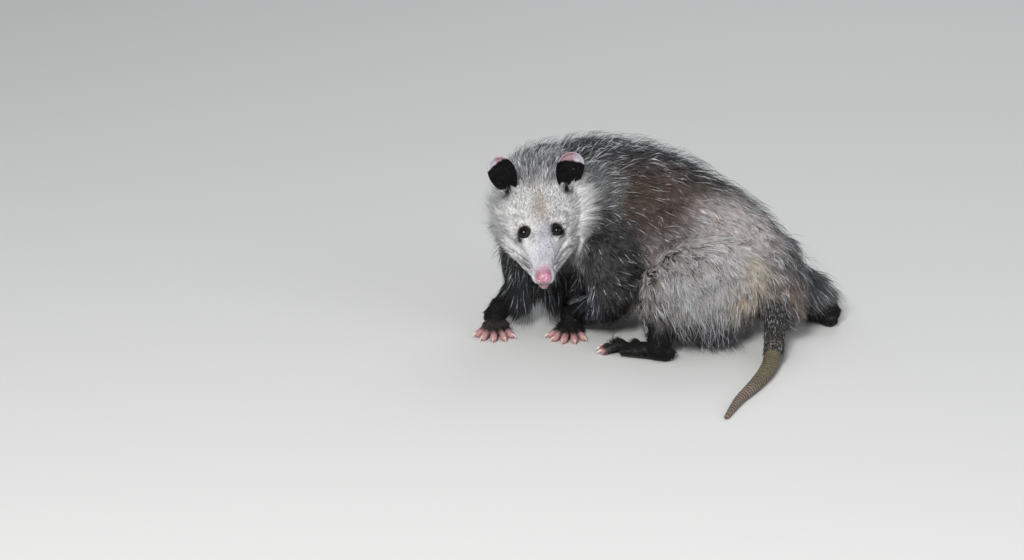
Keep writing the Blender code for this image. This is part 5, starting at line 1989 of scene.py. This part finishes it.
@dataclass
class Ear:
    """A thin round cupped ear whose edge curls forward, with folds at its base.

    Its pale patch lies outwards from the top by the pale turn in degrees, and starts at a share of the
    way from the middle to the edge.
    """

    side: int
    material: bpy.types.Material
    pale_turn: float
    pale_from: float
    root: Vec3 = (0.0332, 0.1040, 0.0430)
    rise: Vec3 = (0.06, 0.21, 0.91)
    facing: Vec3 = (0.30, -0.94, 0.14)
    splay: float = 0.03
    height: float = 0.038
    width: float = 0.0325
    widest: float = 0.60
    narrowing: float = 0.66
    curl: float = 0.0075
    sink: float = 0.006
    wall: float = 0.0011
    roll: float = 0.0011
    ridge: float = 0.0011
    columns: int = 40
    rows: int = 36

    @property
    def node(self) -> str:
        """The ear's node."""
        return "ear_left" if self.side > 0 else "ear_right"

    def basis(self) -> Matrix:
        """The matrix from the ear's own frame to the head's."""
        rise = Vector((self.side * (self.rise[0] - self.side * self.splay), self.rise[1], self.rise[2]))
        rise.normalize()
        facing = Vector((self.side * self.facing[0], self.facing[1], self.facing[2]))
        facing = (facing - rise * facing.dot(rise)).normalized()
        basis = Matrix((facing.cross(rise), facing, rise)).transposed().to_4x4()
        root = Vector((self.side * self.root[0], self.root[1], self.root[2]))
        return Matrix.Translation(root) @ basis

    def build(self) -> bpy.types.Object:
        """Makes the ear."""
        u, j = np.meshgrid(np.linspace(-1, 1, self.columns + 1), np.linspace(0, 1, self.rows + 1))
        v = 0.998 * np.sin(0.5 * np.pi * j)
        q = np.where(v > self.widest, (v - self.widest) / (1 - self.widest), (v - self.widest) / self.narrowing)
        swell = np.sqrt(1 - q * q)
        top = np.maximum(q, 0)
        edge = np.sqrt(u * u * (1 - top * top) + top * top)
        ragged = 1 + 0.016 * np.sin(9 * u + 4 * v) + 0.010 * np.sin(17 * u - 6 * v)
        x = 0.5 * self.width * swell * u * ragged
        forward = self.curl * (0.90 * (u * swell) ** 2 + 0.55 * top * top)
        forward += self.roll * eased(edge, 0.78, 1.0)
        folds = np.exp(-((u - 0.30) / 0.09) ** 2) + 0.8 * np.exp(-((u + 0.18) / 0.08) ** 2)
        forward += self.ridge * folds * (1 - eased(v, 0.25, 0.62))
        forward += 0.00035 * np.sin(26 * v + 2.5 * u) * (1 - eased(edge, 0.7, 0.95))
        z = -self.sink + (self.height + self.sink) * v
        points = np.stack([x, forward, z], -1).reshape(-1, 3)
        a = (np.arange(self.rows)[:, None] * (self.columns + 1) + np.arange(self.columns)).reshape(-1)
        quads = np.stack([a, a + 1, a + self.columns + 2, a + self.columns + 1], -1)
        made = faced_mesh(self.node + "_cup", points, quads, NO_FACES)
        outer = (u * swell * self.outward()).reshape(-1)
        turn = math.radians(self.pale_turn)
        carry(made, "outer", outer)
        carry(made, "pale", q.reshape(-1) * math.cos(turn) + outer * math.sin(turn) - self.pale_from)
        carry(made, "place", points)
        wall = made.modifiers.new("wall", "SOLIDIFY")
        wall.thickness = self.wall
        wall.offset = 0
        settled(made)
        turned_out(made.data)
        made.data.transform(HEAD @ self.basis())
        made.data.shade_smooth()
        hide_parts(self.node)
        return dressed(made, self.material, Slot.EAR)

    def outward(self) -> int:
        """The sign of the ear's own x towards the outside of the head."""
        return 1 if self.basis().to_3x3().col[0].x * self.side > 0 else -1


@dataclass
class Whiskers:
    """Long stiff hairs on the muzzle, the cheeks and above the eyes."""

    material: bpy.types.Material
    skin: bpy.types.Object
    thick: float = 0.00026
    rows: tuple[tuple[float, float, float, int, float], ...] = (
        (0.010, 0.014, -0.002, 7, 0.046),
        (0.012, 0.018, -0.006, 6, 0.040),
        (0.026, 0.055, -0.004, 3, 0.034),
        (0.015, 0.060, 0.036, 3, 0.026),
    )
    spread: float = 0.0055
    bend: float = 0.55
    steps: int = 8

    def build(self) -> bpy.types.Object:
        """Makes the whiskers."""
        rng = np.random.default_rng(SEED + 1)
        tree = BVHTree.FromObject(self.skin, bpy.context.evaluated_depsgraph_get())
        points, quads, triangles, along = [], [], [], []
        for side in (1, -1):
            for x, y, z, count, length in self.rows:
                for _ in range(count):
                    seat = np.array([side * x, y, z]) + rng.normal(0, self.spread, 3) * [0.2, 1, 0.6]
                    spot, normal, _, _ = tree.find_nearest(HEAD @ Vector(seat))
                    lie = HEAD.to_3x3() @ Vector((side * 0.35, 0.9, rng.uniform(-0.35, 0.25)))
                    line, size = self.line(spot, normal, lie.normalized(), length * rng.uniform(0.7, 1.1))
                    base = len(points)
                    for i in range(self.steps):
                        t = i / self.steps
                        ring = [line[i] + size[k] * self.thick * (1 - 0.8 * t) for k in range(3)]
                        points.extend(ring)
                        along.extend([t] * 3)
                    points.append(line[self.steps])
                    along.append(1.0)
                    quads.append(tube_faces(self.steps, 3) + base)
                    last = base + 3 * (self.steps - 1)
                    end = base + 3 * self.steps
                    triangles += [(last, last + 1, end), (last + 1, last + 2, end), (last + 2, last, end)]
        made = faced_mesh("whiskers", np.array(points), np.concatenate(quads), np.array(triangles))
        carry(made, "along", np.array(along))
        return dressed(made, self.material, Slot.FACE)

    def line(self, spot: Vector, normal: Vector, lie: Vector, length: float) -> tuple[np.ndarray, np.ndarray]:
        """One whisker.

        Args:
            spot: Where it stands.
            normal: The way the skin faces there.
            lie: The way it bends to.
            length: Its length.

        Returns:
            Its points, and three directions round it.
        """
        start = np.array(spot) - 0.001 * np.array(normal)
        across = unit(np.cross(np.array(normal), np.array(lie)))
        top = np.cross(np.array(lie), across)
        turns = np.array([0, 2 * np.pi / 3, 4 * np.pi / 3])
        size = np.cos(turns)[:, None] * across + np.sin(turns)[:, None] * top
        line = [start]
        for i in range(self.steps):
            t = i / self.steps
            rise = (1 - t) * self.bend + 0.15
            ahead = unit(np.array(lie) + rise * np.array(normal) + np.array([0, 0, -0.25 * t]))
            line.append(line[-1] + ahead * length / self.steps)
        return np.array(line), size


# Feet, claws and tail.


@dataclass(frozen=True)
class Toe:
    """A toe: where it starts, the way it points along the floor, its reach and its radius."""

    root: Vector
    ahead: Vector
    reach: float
    radius: float
    clawed: bool = True

    def rows(self) -> np.ndarray:
        """The toe's stations from its root to the end of its pad."""
        shape = (
            (-0.10, 1.95, 1.05), (0.14, 2.40, 1.12), (0.36, 2.50, 1.00), (0.56, 2.15, 0.90),
            (0.74, 1.60, 0.96), (0.90, 1.12, 1.04), (1.02, 0.98, 0.92), (1.11, 1.00, 0.52),
        )
        table = []
        for t, height, size in shape:
            spot = self.root + self.ahead * self.reach * t
            table.append((spot.x, spot.y, self.radius * height, *[self.radius * size] * 3))
        return smooth_rows(tuple(table), 3)

    def claw_rows(self, length: float, radius: float, drop: float) -> np.ndarray:
        """The stations of the curved claw at its end."""
        start = self.root + self.ahead * (self.reach + 0.55 * self.radius)
        start.z = self.radius * 1.30
        table = []
        for t in np.linspace(-0.35, 1, 8):
            spot = start + self.ahead * length * t
            size = radius * (1 - 0.86 * max(t, 0) ** 1.15)
            table.append((spot.x, spot.y, start.z - drop * length * max(t, 0) ** 2, 0.75 * size, size, size))
        return np.array(table)


@dataclass
class Paw:
    """A foot with its wrist or ankle, its toes and their claws."""

    stand: Stand
    limb: Rows
    finish: bpy.types.Material
    horn: bpy.types.Material
    palm: Vec3 = (0.0135, 0.0135, 0.0095)
    palm_reach: float = 0.013
    finger_angles: tuple[float, ...] = (-46, -22, 0, 22, 46)
    finger_reaches: tuple[float, ...] = (0.0235, 0.0280, 0.0295, 0.0280, 0.0235)
    finger_radius: float = 0.0040
    toe_angles: tuple[float, ...] = (-26, -9, 8, 25)
    toe_reaches: tuple[float, ...] = (0.0235, 0.0260, 0.0260, 0.0235)
    toe_radius: float = 0.0040
    thumb_angle: float = 76
    thumb_reach: float = 0.0250
    ball_reach: float = 0.0360
    sole: Rows = (
        (-0.0150, 0.0070, 0.0030, 0.0025, 0.0040),
        (-0.0125, 0.0080, 0.0066, 0.0060, 0.0085),
        (-0.0050, 0.0090, 0.0092, 0.0085, 0.0100),
        (0.0120, 0.0085, 0.0100, 0.0085, 0.0095),
        (0.0280, 0.0075, 0.0125, 0.0068, 0.0085),
        (0.0400, 0.0065, 0.0130, 0.0055, 0.0072),
    )
    claw_length: float = 0.0056
    claw_radius: float = 0.00145
    claw_drop: float = 0.55
    fur_end: float = 0.50
    fur_floor: float = 0.0035
    voxel: float = 0.00095

    def joint(self) -> tuple[Vector, Vector, float]:
        """The end of the limb at rest, the way it runs there and its radius."""
        end = Vector(self.limb[-1][:3]) + SHIFT
        before = Vector(self.limb[-2][:3]) + SHIFT
        return end, (end - before).normalized(), self.limb[-1][3]

    def toes(self) -> list[Toe]:
        """The toes of the foot."""
        end, _, _ = self.joint()
        ground = Vector((end.x, end.y, 0))
        way = self.stand.way
        ahead = way()
        if not self.stand.hind:
            palm = ground + ahead * self.palm_reach
            pairs = zip(self.finger_angles, self.finger_reaches)
            return [Toe(palm + way(a) * 0.003, way(a), r, self.finger_radius) for a, r in pairs]
        ball = ground + ahead * self.ball_reach
        pairs = zip(self.toe_angles, self.toe_reaches)
        made = [Toe(ball + way(a) * 0.003, way(a), r, self.toe_radius) for a, r in pairs]
        thumb = way(self.stand.thumb * self.thumb_angle)
        made.append(Toe(ball - ahead * 0.008, thumb, self.thumb_reach, self.toe_radius * 1.1, False))
        return made

    def root(self) -> list[bpy.types.Object]:
        """The wrist and palm, or the ankle and sole."""
        end, run, radius = self.joint()
        ground = Vector((end.x, end.y, 0))
        ahead = self.stand.way()
        back = end - run * 0.012
        if self.stand.hind:
            low, size = ground + Vector((0, 0, 0.0075)), radius * 0.8
            rows = [(*(ground + ahead * t)[:2], z, wide, above, below) for t, z, wide, above, below in self.sole]
            form = loft("sole", smooth_rows(tuple(rows), 4))
        else:
            palm = ground + ahead * self.palm_reach
            low, size = palm + Vector((0, 0, self.palm[2] * 0.9)), self.palm[2] * 0.9
            form = oval("palm", (0, 0, self.palm[2] * 0.85), self.palm)
            turn = Matrix.Rotation(math.radians(self.stand.heading), 4, "Z")
            form.data.transform(Matrix.Translation(palm) @ turn)
        rows = []
        for place, r in ((back, radius * 1.04), (end, radius), (end + run * 0.004, radius), (low, size)):
            rows.append((*place, r, r, r))
        return [form, loft("wrist", smooth_rows(tuple(rows), 4))]

    def build(self) -> bpy.types.Object:
        """Makes the foot and its claws.

        Returns:
            The foot's skin, with how bare each part of it is.
        """
        toes = self.toes()
        pieces = self.root() + [loft("toe", toe.rows(), 14) for toe in toes]
        foot = melded(self.stand.node + "_skin", pieces, self.voxel, 4)
        points = places(foot)
        points[:, 2] = np.maximum(points[:, 2], 0.0)
        share = np.zeros(len(points))
        nearest = np.full(len(points), 1.0)
        for toe in toes:
            line = toe.rows()
            away = np.linalg.norm(points[:, None] - line[None, :, :3], axis=2)
            index = away.argmin(1)
            t = index / (len(line) - 1)
            closer = away.min(1) < nearest
            nearest = np.where(closer, away.min(1), nearest)
            share = np.where(closer, t * (1 - eased(away.min(1), 1.5 * toe.radius, 2.6 * toe.radius)), share)
        moved(foot, points)
        carry(foot, "toe", share)
        carry(foot, "run", share * 0.025)
        carry(foot, "place", points - np.array(SHIFT))
        low = 1 - eased(points[:, 2], self.fur_floor, 2 * self.fur_floor)
        carry(foot, "bare", np.maximum(eased(share, self.fur_end - 0.12, self.fur_end), low))
        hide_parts(self.stand.node)
        self.claws([toe for toe in toes if toe.clawed])
        return dressed(foot, self.finish, Slot.FOOT)

    def claws(self, toes: list[Toe]) -> None:
        """Makes the claws of the foot as one piece.

        Args:
            toes: The toes that have one.
        """
        work = bmesh.new()
        shares = []
        for toe in toes:
            rows = toe.claw_rows(self.claw_length, self.claw_radius, self.claw_drop)
            rows[:, 2] = np.maximum(rows[:, 2], rows[:, 5] + 0.0002)
            claw = loft("claw", rows, 12)
            work.from_mesh(claw.data)
            shares += list(np.repeat(np.linspace(0, 1, len(rows)), 12)) + [0.0, 1.0]
            bpy.data.objects.remove(claw)
        mesh = bpy.data.meshes.new(self.stand.node + "_claws")
        work.to_mesh(mesh)
        work.free()
        made = linked(self.stand.node + "_claws", mesh)
        mesh.shade_smooth()
        carry(made, "run", np.array(shares))
        carry(made, "place", places(made))
        dressed(made, self.horn, Slot.FOOT)


@dataclass
class Tail:
    """The bare tail in rings of scales, with dark fur at its root and short bristles along it."""

    finish: bpy.types.Material
    hair: bpy.types.Material
    stations: Rows = (
        (0.104, -0.014, 0.060, 0.0105),
        (0.112, -0.040, 0.044, 0.0102),
        (0.111, -0.068, 0.0260, 0.0098),
        (0.107, -0.100, 0.0106, 0.0092),
        (0.097, -0.138, 0.0076, 0.0081),
        (0.0815, -0.176, 0.0062, 0.0067),
        (0.062, -0.216, 0.0044, 0.0049),
        (0.0465, -0.258, 0.0023, 0.0027),
    )
    sides: int = 30
    per_span: int = 48
    swell: float = 0.018
    fur_share: float = 0.36
    bristles: int = 5200
    fur: int = 6500

    def rows(self) -> np.ndarray:
        """Middle and radius along the tail, rounded off at the tip."""
        rows = smooth_rows(PLAN.shifted(self.stations), self.per_span)
        tip = np.linspace(1, 0, 8)[:, None] ** 0.5
        ahead = unit(rows[-1:, :3] - rows[-3:-2, :3])
        ends = np.repeat(rows[-1:], 8, 0)
        ends[:, :3] += ahead * rows[-1, 3] * np.linspace(0.1, 0.98, 8)[:, None]
        ends[:, 3] *= np.maximum(tip[:, 0], 0.08)
        return np.concatenate([rows, ends])

    def build(self) -> None:
        """Makes the tail, its fur and its bristles."""
        rows = self.rows()
        middles, radius = rows[:, :3], rows[:, 3]
        steps = np.linalg.norm(np.diff(middles, axis=0), axis=1)
        run = np.append(0, np.cumsum(steps))
        ahead = unit(np.gradient(middles, axis=0))
        side = unit(np.cross(ahead, [0, 0, 1]))
        top = np.cross(side, ahead)
        ring = TailFinish.ring
        bulge = 1 + self.swell * np.sin(2 * np.pi * run / ring)
        turn = 2 * np.pi * np.arange(self.sides) / self.sides
        normal = side[:, None] * np.cos(turn)[None, :, None] + top[:, None] * np.sin(turn)[None, :, None]
        points = middles[:, None] + normal * (radius * bulge)[:, None, None]
        points[..., 2] = np.maximum(points[..., 2], 0)
        count = len(rows) * self.sides
        flat = np.concatenate([points.reshape(-1, 3), middles[:1], middles[-1:]])
        j = np.arange(self.sides)
        front = np.stack([(j + 1) % self.sides, j, np.full(self.sides, count)], -1)
        back = count - self.sides + np.stack([j, (j + 1) % self.sides, np.full(self.sides, self.sides + 1)], -1)
        quads = tube_faces(len(rows), self.sides)
        made = faced_mesh("tail_skin", flat, quads, np.concatenate([front, back]))
        turned_out(made.data)
        around = np.abs(turn / np.pi - 1)
        carry(made, "run", np.append(np.repeat(run, self.sides), [0, run[-1]]))
        carry(made, "turn", np.append(np.tile(around, len(rows)), [0, 0]))
        carry(made, "share", np.append(np.repeat(run / run[-1], self.sides), [0, 1]))
        carry(made, "place", flat - np.array(SHIFT))
        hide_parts(*(f"tail_{i}" for i in range(1, 6)))
        dressed(made, self.finish, Slot.TAIL)
        self.coat(points, normal, ahead, run / run[-1])

    def coat(self, points: np.ndarray, normal: np.ndarray, ahead: np.ndarray, share: np.ndarray) -> None:
        """Fur at the root and bristles on the rest.

        Args:
            points: The rings of the tail.
            normal: The way each point faces.
            ahead: The way the tail runs at each ring.
            share: How far along each ring is.
        """
        rng = np.random.default_rng(SEED + 2)
        root = np.flatnonzero(share < self.fur_share)
        rest = np.flatnonzero(share >= self.fur_share * 0.8)
        for name, rings, count, length, width, lift in (
            ("tail_root_fur", root, self.fur, 0.010, 0.0006, 20),
            ("tail_bristles", rest, self.bristles, 0.0032, 0.00028, 26),
        ):
            i, j = rng.choice(rings, count), rng.integers(0, self.sides, count)
            keep = points[i, j, 2] > 0.001
            i, j = i[keep], j[keep]
            spot = points[i, j] + rng.normal(0, 0.0004, (len(i), 3))
            face, lie = normal[i, j], unit(ahead[i] + rng.normal(0, 0.16, (len(i), 3)))
            size = length * rng.uniform(0.6, 1.15, len(i)) * (1 - 0.5 * share[i])
            climb = math.radians(lift)
            line = [spot - face * 0.0006]
            for step in range(4):
                way = unit(lie + face * math.tan(climb) * (1 - 0.3 * step))
                line.append(line[-1] + way * (size / 4)[:, None])
            lines = np.stack(line, 1)
            lines[..., 2] = np.maximum(lines[..., 2], 0.0004)
            hairs = Hairs(
                lines, face, np.full(len(i), width), spot - np.array(SHIFT), rng.random(len(i)),
                (rng.random(len(i)) < 0.12).astype(float), np.stack([share[i], j / self.sides], -1), (1,),
            )
            dressed(hairs.mesh(name), self.hair, Slot.TAIL)


@dataclass
class Studio:
    """The floor, the lights and the camera."""

    scale: float = 0.0011
    picture: tuple[int, int] = (1024, 560)
    origin: tuple[float, float] = (667, 335)
    rise: float = 18
    distance: float = 3.0
    sensor: float = 36
    floor_size: float = 60
    ambient: float = 0.36
    lamps: tuple[tuple[str, Vec3, float, float, Vec3], ...] = (
        ("key", (-0.7, -2.8, 2.0), 105, 0.8, (1.0, 0.99, 0.975)),
        ("fill", (2.2, -1.8, 1.2), 18, 1.8, (0.94, 0.97, 1.0)),
        ("back", (0.7, 2.2, 2.2), 14, 1.4, (0.96, 0.98, 1.0)),
    )

    def build(self) -> None:
        """Makes the floor, the lights, the surrounding light and the camera."""
        half = self.floor_size / 2
        corners = np.array([(-half, -half, 0), (half, -half, 0), (half, half, 0), (-half, half, 0)], float)
        floor = faced_mesh("floor", corners, np.array([[0, 1, 2, 3]]), NO_FACES)
        floor.data.materials.append(FloorFinish().material())
        for name, spot, power, size, colour in self.lamps:
            light = bpy.data.lights.new(name, "AREA")
            light.energy = power
            light.size = size
            light.color = colour
            holder = bpy.data.objects.new(name, light)
            bpy.context.scene.collection.objects.link(holder)
            holder.location = spot
            aim = Vector((0, -0.03, 0.09)) - Vector(spot)
            holder.rotation_mode = "QUATERNION"
            holder.rotation_quaternion = aim.to_track_quat("-Z", "Y")
        world = bpy.data.worlds.new("room")
        world.use_nodes = True
        world.node_tree.nodes["Background"].inputs["Color"].default_value = (0.92, 0.96, 1.0, 1)
        world.node_tree.nodes["Background"].inputs["Strength"].default_value = self.ambient
        bpy.context.scene.world = world
        bpy.context.scene.view_settings.view_transform = "Standard"
        self.camera()

    def camera(self) -> None:
        """Places the camera at the photograph's angle and framing."""
        rise = math.radians(self.rise)
        right, up = Vector((1, 0, 0)), Vector((0, math.sin(rise), math.cos(rise)))
        to_camera = Vector((0, -math.cos(rise), math.sin(rise)))
        wide, tall = self.picture
        centre = right * (wide / 2 - self.origin[0]) * self.scale + up * (self.origin[1] - tall / 2) * self.scale
        lens = bpy.data.cameras.new("camera")
        lens.sensor_width = self.sensor
        lens.lens = self.sensor / 2 * self.distance / (wide / 2 * self.scale)
        holder = bpy.data.objects.new("camera", lens)
        bpy.context.scene.collection.objects.link(holder)
        holder.location = centre + to_camera * self.distance + SHIFT
        holder.rotation_mode = "QUATERNION"
        holder.rotation_quaternion = (-to_camera).to_track_quat("-Z", "Y")
        bpy.context.scene.camera = holder


def main() -> None:
    """Builds every piece in order."""
    logging.basicConfig(level=logging.INFO, format="%(message)s")
    eyes = [EyePlace(1), EyePlace(-1)]
    flesh = Flesh()
    skin = flesh.skin(eyes, SkinFinish().material())
    wet = EyeFinish().material()
    for eye in eyes:
        Eye(eye, wet).build()
    Nose(NoseFinish().material()).build()
    bare = EarFinish().material()
    Ear(1, bare, 14, 0.30).build()
    Ear(-1, bare, 32, 0.56).build()
    horn = ClawFinish().material()
    fore = PawFinish().material("forefoot_skin")
    hind = PawFinish(pink_from=0.60, pink_full=1.0).material("hindfoot_skin")
    furred = [skin]
    for stand in STANDS:
        finish = hind if stand.hind else fore
        furred.append(Paw(stand, getattr(flesh, stand.limb), finish, horn).build())
    hair = CoatFinish().material()
    Tail(TailFinish().material(), hair).build()
    Whiskers(WhiskerFinish().material(), skin).build()
    Coat(furred, flesh, Atlas(furred), hair).grow()
    Studio().build()


if __name__ == "__main__":
    main()
